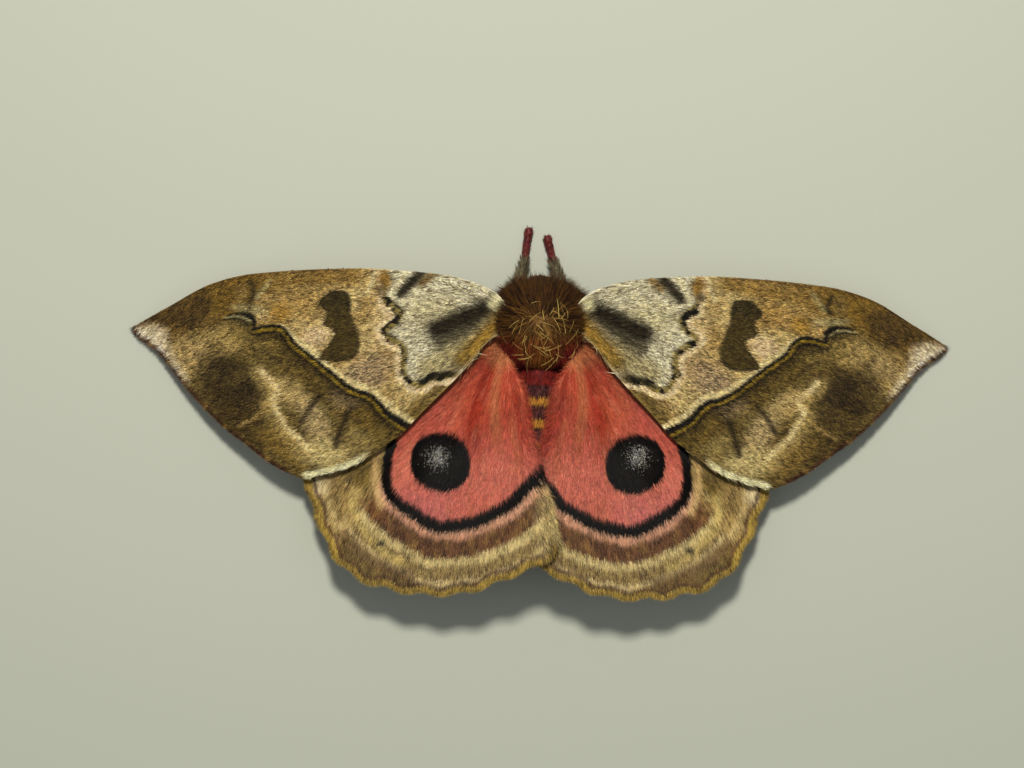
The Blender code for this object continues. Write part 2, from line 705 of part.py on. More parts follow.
def vein_relief(plan, along, across):
    """Height of the veins over the membrane on the same grid."""
    t, v = along[:, None], across[None, :]
    relief = np.zeros((len(along), len(across)))
    for share, start in plan.veins:
        on_crest = np.abs(v - share) < RIDGE_SHARE / 2
        relief = np.maximum(relief, on_crest * smooth_step((start - 0.06, start + 0.02), t))
    on_cross = (np.abs(t - plan.cross_vein) < 0.01) & (v > plan.cell[0]) & (v < plan.cell[1])
    relief = np.maximum(relief, on_cross * 1.0)
    return RIDGE_HEIGHT * relief * (1 - 0.5 * smooth_step((0.8, 1), t))


def wing_solid(name, side, plan, height, along, across, spare=0.0):
    """A wing with raised veins, made thicker by the spare on each face.

    Both faces are split into the same triangles.
    """
    places = wing_plan_points(plan, along, across)
    out, forward = places[..., 0], places[..., 1]
    middle = height(side, out, forward, across[None, :])
    at_root = 1 - smooth_step(ROOT_TAPER, np.hypot(out, forward))
    half = (MEMBRANE + (ROOT_THICKNESS - MEMBRANE) * at_root) / 2 + spare
    relief = vein_relief(plan, along, across)
    x = SIDES[side] * out
    top = np.stack([x, forward, middle + half + relief], axis=-1).reshape(-1, 3)
    bottom = np.stack([x, forward, middle - half], axis=-1).reshape(-1, 3)
    rows, columns = out.shape
    under = rows * columns
    faces = []
    for i in range(rows - 1):
        for j in range(columns - 1):
            a, b = i * columns + j, (i + 1) * columns + j
            for corner in ((a, b, b + 1), (a, b + 1, a + 1)):
                faces.append(corner)
                faces.append(tuple(under + k for k in reversed(corner)))
    rim = [i * columns for i in range(rows)]
    rim += [(rows - 1) * columns + j for j in range(1, columns)]
    rim += [i * columns + columns - 1 for i in range(rows - 2, -1, -1)]
    rim += list(range(columns - 2, 0, -1))
    for a, b in zip(rim, rim[1:] + rim[:1]):
        faces += [(a, b, under + b), (a, under + b, under + a)]
    return new_object(name, np.vstack([top, bottom]), faces, name.split("_")[0])


def add_wing(name, side, plan, height):
    """A wing, cut clear of the thorax."""
    wing = wing_solid(f"{name}_{side}", side, plan, height, wing_columns(plan), vein_rows(plan))
    combine(wing, [thorax_shape("cutter", GAP)], "DIFFERENCE")


# The whole moth


def main():
    """Clears the scene and builds the moth round an empty at the middle of its outline."""
    for old in list(bpy.data.objects):
        bpy.data.objects.remove(old)
    add_thorax()
    add_abdomen()
    add_head()
    for side in SIDES:
        add_wing("forewing", side, FOREWING, fore_height)
        add_wing("hindwing", side, HINDWING, hind_height)
        add_antenna(side)
    for name, points in LEGS.items():
        add_leg(name, points)
    moth = bpy.data.objects.new("moth", None)
    moth.location.y = BODY_FORWARD * MM
    for obj in list(bpy.context.scene.objects):
        obj.data.set_sharp_from_angle(angle=math.radians(SHARP_ANGLE))
        obj.parent = moth
    bpy.context.scene.collection.objects.link(moth)


main()
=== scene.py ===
"""A silk moth that bares its red hindwings, as a life-size still model with its full coat of scales and fur.

Sizes are in millimetres in the moth's own frame until a mesh is made: x runs to its right, y to its head and
z up from the floor. A wing is drawn once, by distance out from the midline and forward, and then mirrored.
"""

import logging
import math
from dataclasses import dataclass
from enum import Enum
from typing import Callable, Optional, Sequence

import bpy
import numpy as np
from mathutils import Matrix, Vector


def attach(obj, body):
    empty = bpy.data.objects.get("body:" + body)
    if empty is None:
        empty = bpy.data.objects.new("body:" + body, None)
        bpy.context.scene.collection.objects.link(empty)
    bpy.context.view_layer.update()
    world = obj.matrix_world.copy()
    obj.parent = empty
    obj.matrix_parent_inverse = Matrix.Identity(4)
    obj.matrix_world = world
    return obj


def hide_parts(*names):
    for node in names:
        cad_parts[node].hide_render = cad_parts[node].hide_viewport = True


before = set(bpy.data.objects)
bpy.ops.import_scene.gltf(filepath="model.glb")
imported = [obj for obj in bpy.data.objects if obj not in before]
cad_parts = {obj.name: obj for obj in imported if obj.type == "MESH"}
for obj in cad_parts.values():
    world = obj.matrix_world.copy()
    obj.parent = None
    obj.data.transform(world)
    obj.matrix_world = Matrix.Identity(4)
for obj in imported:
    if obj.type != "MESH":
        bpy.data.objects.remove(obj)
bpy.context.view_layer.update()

log = logging.getLogger("moth")

Array = np.ndarray
Points = Sequence[tuple]

MM = 0.001
BODY_FORWARD = 8.95  # the wing roots lie this far ahead of the middle of the outline
BAKE_MAP = "OFBake"
BAKE_PATCH = 0.003  # one hair's patch on the bake map
BAKE_BORDER = 0.01
MARKINGS = "markings"  # the colour of each hair and of the skin below it
SLIVER_CREST = 0.42  # share of a sliver's length at which it is highest
SLIVER_PAINTED_SHADE = (0.74, 0.74, 1.0, 1.14)  # painted shade and light on a sliver's colour: darkened at its two root corners where it meets the skin, lighter at its tip
STRAND_TAPER = 0.55  # share of its thickness that a strand loses towards its tip
SKIN_PAINTED_SHADE = 0.8  # painted shade: how far the skin's colour is darkened between and under its hairs
FLOOR_GAP = 0.02  # nothing comes closer to the floor
UP = np.array([0.0, 0.0, 1.0])


class Side(Enum):
    """A side of the moth, by the direction of x."""

    LEFT = -1
    RIGHT = 1

    @property
    def label(self) -> str:
        """The side's name as the nodes have it."""
        return self.name.lower()


class Face(Enum):
    """A face of a wing, by the direction of z."""

    UPPER = 1
    UNDER = -1


# Numbers and curves


def linear(code: str) -> Array:
    """Turns an sRGB hex colour of six digits to linear red, green and blue."""
    levels = np.array([int(code[i:i + 2], 16) for i in (0, 2, 4)]) / 255
    return np.where(levels <= 0.04045, levels / 12.92, ((levels + 0.055) / 1.055) ** 2.4)


def smooth_step(limits: tuple, value: Array) -> Array:
    """Rises smoothly from 0 below the first limit to 1 above the second."""
    share = np.clip((value - limits[0]) / (limits[1] - limits[0]), 0, 1)
    return share * share * (3 - 2 * share)


def profile(pairs: Points, shares: Array) -> Array:
    """Reads a size at these shares from pairs of share and size."""
    known, sizes = zip(*pairs)
    return np.interp(shares, known, sizes)


def unit(vectors: Array) -> Array:
    """Brings one vector, or each row of many, to length 1."""
    vectors = np.asarray(vectors, float)
    return vectors / np.maximum(np.linalg.norm(vectors, axis=-1, keepdims=True), 1e-9)


class SmoothCurve:
    """A smooth curve through points, read by share of its length."""

    STEPS = 12

    def __init__(self, points: Points) -> None:
        """Lays the curve through the points."""
        knots = np.array(points, float)
        ends = np.vstack([2 * knots[0] - knots[1], knots, 2 * knots[-1] - knots[-2]])
        s = np.linspace(0, 1, self.STEPS, endpoint=False)[:, None]
        spans = [
            0.5 * (2 * b + (c - a) * s + (2 * a - 5 * b + 4 * c - d) * s**2 + (3 * b - a - 3 * c + d) * s**3)
            for a, b, c, d in zip(ends, ends[1:], ends[2:], ends[3:])
        ]
        self.points = np.vstack([*spans, knots[-1:]])
        steps = np.linalg.norm(np.diff(self.points, axis=0), axis=1)
        self.along = np.concatenate([[0], np.cumsum(steps)])
        self.length = self.along[-1]

    def at(self, shares: Array) -> Array:
        """Reads points at these shares of the length."""
        wanted = np.asarray(shares, float) * self.length
        return np.stack([np.interp(wanted, self.along, axis) for axis in self.points.T], axis=-1)

    def ahead(self, shares: Array, step: float = 0.01) -> Array:
        """The unit direction of the curve at these shares, read over a step on each side."""
        return unit(self.at(np.minimum(shares + step, 1)) - self.at(shares - step))


@dataclass
class Mottle:
    """Soft blotches of one size that never repeat on the moth, from 0 to 1."""

    size: float
    seed: int
    cells: int = 192
    shift: tuple = (71.3, 83.9)

    def at(self, x: Array, y: Array, stretch: float = 1.0) -> Array:
        """Reads the blotches.

        Args:
            x: distance in the first direction, in mm.
            y: distance in the second direction, in mm.
            stretch: how many times longer the blotches are in the second direction.

        Returns:
            The darkness at each place.
        """
        grid = np.random.default_rng(self.seed).random((self.cells, self.cells))
        u = x / self.size + self.shift[0]
        w = y / (self.size * stretch) + self.shift[1]
        i, j = np.floor(u).astype(int), np.floor(w).astype(int)
        fu, fw = smooth_step((0, 1), u - i), smooth_step((0, 1), w - j)
        i, j = i % self.cells, j % self.cells
        i1, j1 = (i + 1) % self.cells, (j + 1) % self.cells
        near = grid[i, j] * (1 - fu) + grid[i1, j] * fu
        far = grid[i, j1] * (1 - fu) + grid[i1, j1] * fu
        return near * (1 - fw) + far * fw


# Meshes


def to_world(points: Array) -> Array:
    """Moves points from the moth's frame in mm to the model's frame in metres."""
    return (np.asarray(points, float) + (0, BODY_FORWARD, 0)) * MM


@dataclass
class Batch:
    """Points, faces, colours and bake places of many small closed shapes."""

    points: Array
    faces: Array
    colours: Array
    bake: Array

    @staticmethod
    def join(batches: Sequence["Batch"]) -> "Batch":
        """Joins batches into one."""
        starts = np.cumsum([0] + [len(batch.points) for batch in batches[:-1]])
        return Batch(
            np.vstack([batch.points for batch in batches]),
            np.vstack([batch.faces + start for batch, start in zip(batches, starts)]),
            np.vstack([batch.colours for batch in batches]),
            np.vstack([batch.bake for batch in batches]),
        )

    @staticmethod
    def repeat(points: Array, pattern: Points, colours: Array, shade: Array, bake: Array,
               offsets: Array) -> "Batch":
        """Lays out many shapes of one pattern.

        Args:
            points: the points of each shape.
            pattern: the faces of one shape.
            colours: one linear colour for each shape.
            shade: painted shade and light, a factor on the colour of each point of a shape, darker at the
                root and lighter at the tip.
            bake: each root's place on the bake map.
            offsets: each point's place round it.

        Returns:
            The shapes.
        """
        count, each = points.shape[:2]
        faces = np.array(pattern)[None] + each * np.arange(count)[:, None, None]
        return Batch(
            points.reshape(-1, 3),
            faces.reshape(-1, 3),
            np.clip(colours[:, None] * np.asarray(shade)[None, :, None], 0, 1).reshape(-1, 3),
            (bake[:, None] + offsets[None] * BAKE_PATCH).reshape(-1, 2),
        )

    def place(self, name: str, finish: bpy.types.Material, slot: str, *nodes: str) -> None:
        """Makes the shapes one piece and fixes it to the frame.

        Args:
            name: the piece.
            finish: its material.
            slot: its kind of finish.
            nodes: the solids that it stands for.
        """
        made = make_piece(name, self.points, self.faces, finish, self.colours, self.bake)
        hand_over(made, slot, *nodes)


def make_piece(
    name: str,
    points: Array,
    faces: Array,
    finish: bpy.types.Material,
    colours: Optional[Array] = None,
    bake: Optional[Array] = None,
    smooth: bool = False,
) -> bpy.types.Object:
    """Makes a mesh object from arrays.

    Args:
        name: the piece's name.
        points: its points in mm in the moth's frame.
        faces: rows of three or four point numbers.
        finish: its material.
        colours: linear red, green and blue of each point.
        bake: place of each point on the bake map.
        smooth: whether it is shaded smooth.

    Returns:
        The object, with its place in its mesh.
    """
    mesh = bpy.data.meshes.new(name)
    faces = np.asarray(faces, np.int32)
    corners = faces.ravel()
    mesh.vertices.add(len(points))
    mesh.vertices.foreach_set("co", to_world(points).astype(np.float32).ravel())
    mesh.loops.add(len(corners))
    mesh.loops.foreach_set("vertex_index", corners)
    mesh.polygons.add(len(faces))
    mesh.polygons.foreach_set("loop_start", np.arange(0, len(corners), faces.shape[1], dtype=np.int32))
    mesh.polygons.foreach_set("use_smooth", np.full(len(faces), smooth))
    mesh.update(calc_edges=True)
    if colours is not None:
        layer = mesh.color_attributes.new(MARKINGS, "FLOAT_COLOR", "POINT")
        opaque = np.ones((len(points), 1))
        layer.data.foreach_set("color", np.hstack([colours, opaque]).astype(np.float32).ravel())
    if bake is not None:
        layer = mesh.uv_layers.new(name=BAKE_MAP)
        layer.data.foreach_set("uv", bake[corners].astype(np.float32).ravel())
    mesh.materials.append(finish)
    made = bpy.data.objects.new(name, mesh)
    bpy.context.scene.collection.objects.link(made)
    return made


def hand_over(piece: bpy.types.Object, slot: str, *nodes: str) -> None:
    """Fixes a finished piece to the frame.

    Args:
        piece: the finished piece.
        slot: not used.
        nodes: the solids that it stands for.
    """
    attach(piece, "root")
    if nodes:
        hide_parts(*nodes)
    log.info("%s: %d faces", piece.name, len(piece.data.polygons))


def tube_faces(rings: int, sides: int) -> list:
    """Faces of a closed tube whose two end points follow its rings.

    Args:
        rings: how many rings it has.
        sides: points in each ring, which turn from the right over the top while the rings run backward.

    Returns:
        Triangles that face out.
    """
    first, last, end = rings * sides, rings * sides + 1, (rings - 1) * sides
    faces = []
    for j in range(sides):
        k = (j + 1) % sides
        faces.append((first, j, k))
        faces.append((last, end + k, end + j))
        for low in range(0, end, sides):
            faces.append((low + j, low + sides + k, low + k))
            faces.append((low + j, low + sides + j, low + sides + k))
    return faces


def slivers(
    roots: Array,
    lie: Array,
    outward: Array,
    length: Array,
    width: Array,
    sunk: float,
    lift: Array,
    colours: Array,
    bake: Array,
) -> Batch:
    """Makes flat scales or short hairs, each a closed sliver of four faces that tapers to its tip.

    Args:
        roots: where they grow.
        lie: the way they point along the skin.
        outward: the way out of the skin.
        length: their lengths.
        width: their widths at the root.
        sunk: how deep the roots are set.
        lift: how far the tips stand off.
        colours: one linear colour for each.
        bake: each root's place on the bake map.

    Returns:
        The slivers.
    """
    count = len(roots)
    length, width, lift = (np.broadcast_to(value, count)[:, None] for value in (length, width, lift))
    across = unit(np.cross(lie, outward))
    base = roots - outward * sunk
    crest = roots + lie * length * SLIVER_CREST + outward * (0.55 * lift + 0.3 * width)
    tip = roots + lie * length + outward * lift
    points = np.stack([base - across * width / 2, base + across * width / 2, crest, tip], axis=1)
    pattern = [(0, 3, 1), (0, 1, 2), (1, 3, 2), (3, 0, 2)]
    offsets = np.array([(-0.5, -0.5), (0.5, -0.5), (0, 0), (0, 0.5)])
    return Batch.repeat(points, pattern, colours, SLIVER_PAINTED_SHADE, bake, offsets)


def strands(paths: Array, radius: Array, colours: Array, bake: Array) -> Batch:
    """Makes bent hairs, each a closed tapering tube of three sides.

    Args:
        paths: points along each hair, root first.
        radius: the hairs' radii at the root.
        colours: one linear colour for each.
        bake: each root's place on the bake map.

    Returns:
        The hairs.
    """
    count, knots = paths.shape[:2]
    rings = knots - 1
    ahead = np.gradient(paths, axis=1)[:, :rings]
    side = unit(np.cross(ahead, UP + (0.01, 0.02, 0)))
    over = unit(np.cross(side, ahead))
    taper = 1 - STRAND_TAPER * np.arange(rings) / rings
    size = (np.broadcast_to(radius, count)[:, None] * taper)[..., None]
    turns = np.radians((90, 210, 330))
    corners = [paths[:, :rings] + size * (math.cos(a) * side + math.sin(a) * over) for a in turns]
    around = np.stack(corners, axis=2).reshape(count, rings * 3, 3)
    points = np.concatenate([around, paths[:, -1:]], axis=1)
    pattern = [(0, 1, 2)]
    for low in range(0, 3 * (rings - 1), 3):
        for j in range(3):
            k = (j + 1) % 3
            pattern += [(low + j, low + 3 + j, low + 3 + k), (low + j, low + 3 + k, low + k)]
    low = 3 * (rings - 1)
    pattern += [(low + j, 3 * rings, low + (j + 1) % 3) for j in range(3)]
    # painted shade and light: each hair's colour darkens towards its root and lightens towards its tip
    shade = np.append(np.repeat(0.7 + 0.35 * np.arange(rings) / rings, 3), 1.15)
    reach = np.append(np.repeat(0.5 * taper, 3), 0)
    wheel = np.append(np.tile(turns, rings), 0)
    offsets = np.stack([np.cos(wheel), np.sin(wheel)], axis=1) * reach[:, None]
    return Batch.repeat(points, pattern, colours, shade, bake, offsets)


def rolled_out(share: Array, angle: Array) -> Array:
    """Places on the bake map of a round body or limb, which is rolled out flat."""
    around = np.mod(angle / (2 * math.pi) + 0.25, 1)
    return BAKE_BORDER + (1 - 2 * BAKE_BORDER) * np.stack([around, share], axis=1)


def turned(vectors: Array, axes: Array, angles: Array) -> Array:
    """Turns each unit vector by its angle about its unit axis, to which it stands square."""
    return vectors * np.cos(angles)[:, None] + np.cross(axes, vectors) * np.sin(angles)[:, None]


# Finishes


def add_node(tree: bpy.types.NodeTree, kind: str, inputs: Optional[dict] = None,
             **settings) -> bpy.types.Node:
    """Adds a node with its settings, values and links.

    Args:
        tree: the tree that it joins.
        kind: the node's type.
        inputs: a value, or a socket to link, for inputs by name or number.
        settings: the node's own settings.

    Returns:
        The node.
    """
    node = tree.nodes.new(kind)
    for name, value in settings.items():
        setattr(node, name, value)
    for name, value in (inputs or {}).items():
        if isinstance(value, bpy.types.NodeSocket):
            tree.links.new(value, node.inputs[name])
        else:
            node.inputs[name].default_value = value
    return node


def per_metre(size: float) -> float:
    """The pattern scale that gives this size in millimetres."""
    return 1 / (size * MM)


def build_finish(
    name: str,
    pattern: str,
    size: float,
    settings: dict,
    relief: tuple,
    colour: Callable,
    surface: dict,
    sunk: bool = False,
) -> bpy.types.Material:
    """Builds a material from one fine pattern, which gives its relief and may vary its colour.

    Args:
        name: the finish.
        pattern: the pattern's node type, whose first output is its height.
        size: the pattern's size in mm.
        settings: the pattern's own values.
        relief: the height of the relief in mm, and its strength.
        colour: makes the colour from the tree and the pattern's height.
        surface: values of the surface.
        sunk: whether the pattern's high places are hollows.

    Returns:
        The material.
    """
    made = bpy.data.materials.new(name)
    made.use_nodes = True
    tree = made.node_tree
    tree.nodes.clear()
    coords = add_node(tree, "ShaderNodeTexCoord")
    drawn = add_node(tree, pattern,
                     {"Vector": coords.outputs["Object"], "Scale": per_metre(size), **settings})
    height = drawn.outputs[0]
    bump = add_node(tree, "ShaderNodeBump", {
        "Height": height,
        "Distance": relief[0] * MM,
        "Strength": relief[1],
    }, invert=sunk)
    shader = add_node(tree, "ShaderNodeBsdfPrincipled", {
        "Base Color": colour(tree, height),
        "Normal": bump.outputs["Normal"],
        **surface,
    })
    add_node(tree, "ShaderNodeOutputMaterial", {"Surface": shader.outputs["BSDF"]})
    return made


def two_tone(low: tuple, high: tuple) -> Callable:
    """Makes a colour that turns from one to another with the pattern's height.

    Args:
        low: the height up to which the first colour reaches, and its hex code.
        high: the height from which the second colour starts, and its hex code.

    Returns:
        A function of the tree and the height that gives the colour's socket.
    """
    def colour(tree: bpy.types.NodeTree, height: bpy.types.NodeSocket) -> bpy.types.NodeSocket:
        """Adds the ramp from one colour to the other.

        Args:
            tree: the material's tree.
            height: the pattern's height.

        Returns:
            The colour's socket.
        """
        ramp = add_node(tree, "ShaderNodeValToRGB", {"Fac": height})
        for stop, (place, code) in zip(ramp.color_ramp.elements, (low, high)):
            stop.position = place
            stop.color = (*linear(code), 1)
        return ramp.outputs["Color"]
    return colour


@dataclass(frozen=True)
class ScaleCoat:
    """Chitin scales and hairs, grown and pigmented: matt, with a soft sheen where light grazes them."""

    name: str
    roughness: float = 0.62
    sheen: float = 0.04
    specular: float = 0.13
    grain: float = 0.35  # size in mm of the light and dark clumps
    depth: float = 0.22  # how far the clumps vary the colour
    bump: float = 0.02  # height in mm of the scale edges on the skin

    def make(self) -> bpy.types.Material:
        """Builds the material."""
        surface = {
            "Roughness": self.roughness,
            "Specular IOR Level": self.specular,
            "Sheen Weight": self.sheen,
            "Sheen Roughness": 0.5,
            "IOR": 1.56,
        }
        return build_finish(self.name, "ShaderNodeTexNoise", self.grain, {"Detail": 3.0, "Roughness": 0.6},
                            (self.bump, 0.6), self.colour, surface)

    def colour(self, tree: bpy.types.NodeTree, height: bpy.types.NodeSocket) -> bpy.types.NodeSocket:
        """Takes the colour painted on each hair, lighter and darker by clumps.

        Args:
            tree: the material's tree.
            height: the pattern's height.

        Returns:
            The colour's socket.
        """
        painted = add_node(tree, "ShaderNodeAttribute", attribute_name=MARKINGS)
        level = add_node(tree, "ShaderNodeMapRange", {
            "Value": height,
            "From Min": 0.3,
            "From Max": 0.7,
            "To Min": 1 - self.depth,
            "To Max": 1 + self.depth,
        })
        varied = add_node(tree, "ShaderNodeVectorMath", {
            0: painted.outputs["Color"],
            1: level.outputs["Result"],
        }, operation="MULTIPLY")
        return varied.outputs["Vector"]


@dataclass(frozen=True)
class Horn:
    """Bare chitin, hardened and smooth: a glossy skin with faint darker clouds."""

    name: str
    colour: str
    dark: str
    roughness: float = 0.32
    coat: float = 0.2
    grain: float = 0.4

    def make(self) -> bpy.types.Material:
        """Builds the material."""
        surface = {"Roughness": self.roughness, "Coat Weight": self.coat, "Coat Roughness": 0.15, "IOR": 1.56}
        return build_finish(self.name, "ShaderNodeTexNoise", self.grain, {"Detail": 4.0}, (0.01, 0.4),
                            two_tone((0.35, self.dark), (0.65, self.colour)), surface)


@dataclass(frozen=True)
class FacetedEye:
    """The lens skin of a compound eye, grown in tiny domes: dark, wet-looking and finely beaded.

    The real facets are 0.03 mm apart. They are drawn three times as coarse so that they show.
    """

    name: str = "compound eye lenses"
    colour: str = "3A2318"
    rim: str = "140C0A"
    facet: float = 0.09

    def make(self) -> bpy.types.Material:
        """Builds the material."""
        surface = {"Roughness": 0.12, "Coat Weight": 0.6, "Coat Roughness": 0.05, "IOR": 1.5}
        return build_finish(self.name, "ShaderNodeTexVoronoi", self.facet, {"Randomness": 0.35}, (0.02, 0.7),
                            two_tone((0.0, self.colour), (0.75, self.rim)), surface, sunk=True)


@dataclass(frozen=True)
class PaleFloor:
    """Matt painted board, rolled on thin: even and pale with a barely visible tooth."""

    name: str = "matt painted board"
    colour: str = "B1B6AA"
    tooth: float = 0.8

    def make(self) -> bpy.types.Material:
        """Builds the material."""
        return build_finish(self.name, "ShaderNodeTexNoise", self.tooth, {"Detail": 3.0}, (0.02, 0.3),
                            lambda tree, height: (*linear(self.colour), 1),
                            {"Roughness": 0.85, "Specular IOR Level": 0.2})


# Painting


@dataclass(frozen=True)
class Tone:
    """Hair of one marking: most hairs' colour, the dark hairs' colour and the dark hairs' share."""

    light: str
    dark: str
    share: float

    def row(self) -> Array:
        """The tone as one row of numbers that can be blended."""
        return np.concatenate([linear(self.light), linear(self.dark), [self.share]])


def inside(outline: Points, places: Array) -> Array:
    """Tells which places lie in a closed outline.

    Args:
        outline: its corners in order.
        places: rows of two distances.

    Returns:
        True for each place inside.
    """
    corners = np.asarray(outline, float)
    x, y = places[:, 0], places[:, 1]
    found = np.zeros(len(places), bool)
    for (ax, ay), (bx, by) in zip(corners, np.roll(corners, -1, axis=0)):
        if ay == by:
            continue
        crossed = (ay > y) != (by > y)
        found ^= crossed & (x < ax + (y - ay) * (bx - ax) / (by - ay))
    return found


def line_distance(line: Array, places: Array) -> tuple:
    """Measures how far places are from a line.

    Args:
        line: its points.
        places: rows of two distances.

    Returns:
        The distance of each place, and the share of the line's length that is nearest to it.
    """
    steps = np.linalg.norm(np.diff(line, axis=0), axis=1)
    along = np.concatenate([[0], np.cumsum(steps)])
    best = np.full(len(places), np.inf)
    nearest = np.zeros(len(places))
    for a, b, start, step in zip(line, line[1:], along, steps):
        gap = places - a
        share = np.clip(gap @ (b - a) / step**2, 0, 1)
        away = np.hypot(*(gap - share[:, None] * (b - a)).T)
        closer = away < best
        best = np.where(closer, away, best)
        nearest = np.where(closer, start + share * step, nearest)
    return best, nearest / along[-1]


class Canvas:
    """The places to be painted on one face of a wing, and the tone of each."""

    STREAK_FAN = (24, 48)  # mm across and along the wing over which its streaks are drawn
    CLUMPING = 0.9  # how strongly dark hairs gather in clumps

    def __init__(self, places: Array, along: Array, across: Array, ground: Tone, seed: int) -> None:
        """Covers the wing in its ground tone.

        Args:
            places: distance out and forward of each place.
            along: share along the wing.
            across: share across the wing.
            ground: the tone of the whole.
            seed: seed of its blotches.
        """
        self.places = places
        self.along = along
        self.across = across
        self.seed = seed
        self.tones = np.tile(ground.row(), (len(places), 1))

    @property
    def out(self) -> Array:
        """Distance out from the midline."""
        return self.places[:, 0]

    @property
    def forward(self) -> Array:
        """Distance forward of the wing's root."""
        return self.places[:, 1]

    def blotches(self, size: float, number: int) -> Array:
        """Even blotches of a size in mm, with a number of their own."""
        return Mottle(size, self.seed + number).at(self.out, self.forward)

    def streaks(self, size: float, stretch: float, number: int) -> Array:
        """Streaks that fan out from the wing's root."""
        across, along = self.STREAK_FAN
        return Mottle(size, self.seed + number).at(self.across * across, self.along * along, stretch)

    def lay(self, tone: Tone, weight: Array) -> None:
        """Lays a tone over the wing by weights from 0 to 1."""
        weight = np.clip(weight, 0, 1)[:, None]
        self.tones += (tone.row() - self.tones) * weight

    def line(self, points: Points, width: float, tone: Tone, soft: float = 0.12, strength: float = 1.0,
             widths: Optional[Points] = None) -> None:
        """Draws a line.

        Args:
            points: the line's route.
            width: its width.
            tone: its tone.
            soft: how wide its edge fades.
            strength: its weight.
            widths: how its width changes, as pairs of share and factor.
        """
        away, share = line_distance(SmoothCurve(points).points[::2], self.places)
        half = width / 2 * (profile(widths, share) if widths else 1.0)
        self.lay(tone, strength * (1 - smooth_step((-soft, soft), away - half)))

    def area(self, outline: Points, tone: Tone, soft: float = 0.15, strength: float = 1.0) -> None:
        """Fills a smooth closed outline, with an edge that fades over the soft width."""
        ring = SmoothCurve([*outline, outline[0]]).points[::2]
        away, _ = line_distance(ring, self.places)
        signed = np.where(inside(ring, self.places), away, -away)
        self.lay(tone, strength * smooth_step((-soft, soft), signed))

    def spot(self, centre: tuple, radii: tuple, tone: Tone, turn: float = 0.0, strength: float = 1.0,
             soft: float = 0.5) -> None:
        """Lays a round or oval spot.

        Args:
            centre: its middle.
            radii: its two radii.
            tone: its tone.
            turn: degrees that its long side is turned.
            strength: its weight in the middle.
            soft: share of the radius over which it fades.
        """
        x, y = (self.places - centre).T
        c, s = math.cos(math.radians(turn)), math.sin(math.radians(turn))
        reach = np.hypot((x * c + y * s) / radii[0], (y * c - x * s) / radii[1])
        self.lay(tone, strength * (1 - smooth_step((1 - soft, 1 + soft), reach)))

    def signed(self, line: Points, closing: Points) -> tuple:
        """Distance from a line, under 0 on the side that the closing points close.

        Args:
            line: its route.
            closing: far points that close the near side.

        Returns:
            The signed distance, and the nearest share along the line.
        """
        smooth = SmoothCurve(line).points[::2]
        away, share = line_distance(smooth, self.places)
        within = inside([*smooth, *closing], self.places)
        return np.where(within, -away, away), share

    def skin_colours(self, shade: float) -> Array:
        """The mean colour at each place, darkened by a painted shade factor."""
        share = self.tones[:, 6:]
        return (self.tones[:, :3] * (1 - share) + self.tones[:, 3:6] * share) * shade

    def hair_colours(self, draw: np.random.Generator, spread: float) -> Array:
        """One colour for each hair, with dark hairs in clumps.

        Args:
            draw: source of random numbers.
            spread: how much the hairs' brightness varies.

        Returns:
            Linear colours.
        """
        clump = self.streaks(0.3, 1.8, 90) - 0.5
        share = self.tones[:, 6]
        dark = draw.random(len(self.places)) < share + self.CLUMPING * clump * (share > 0.02)
        chosen = np.where(dark[:, None], self.tones[:, 3:6], self.tones[:, :3])
        return chosen * np.exp(draw.normal(0, spread, len(self.places)))[:, None]


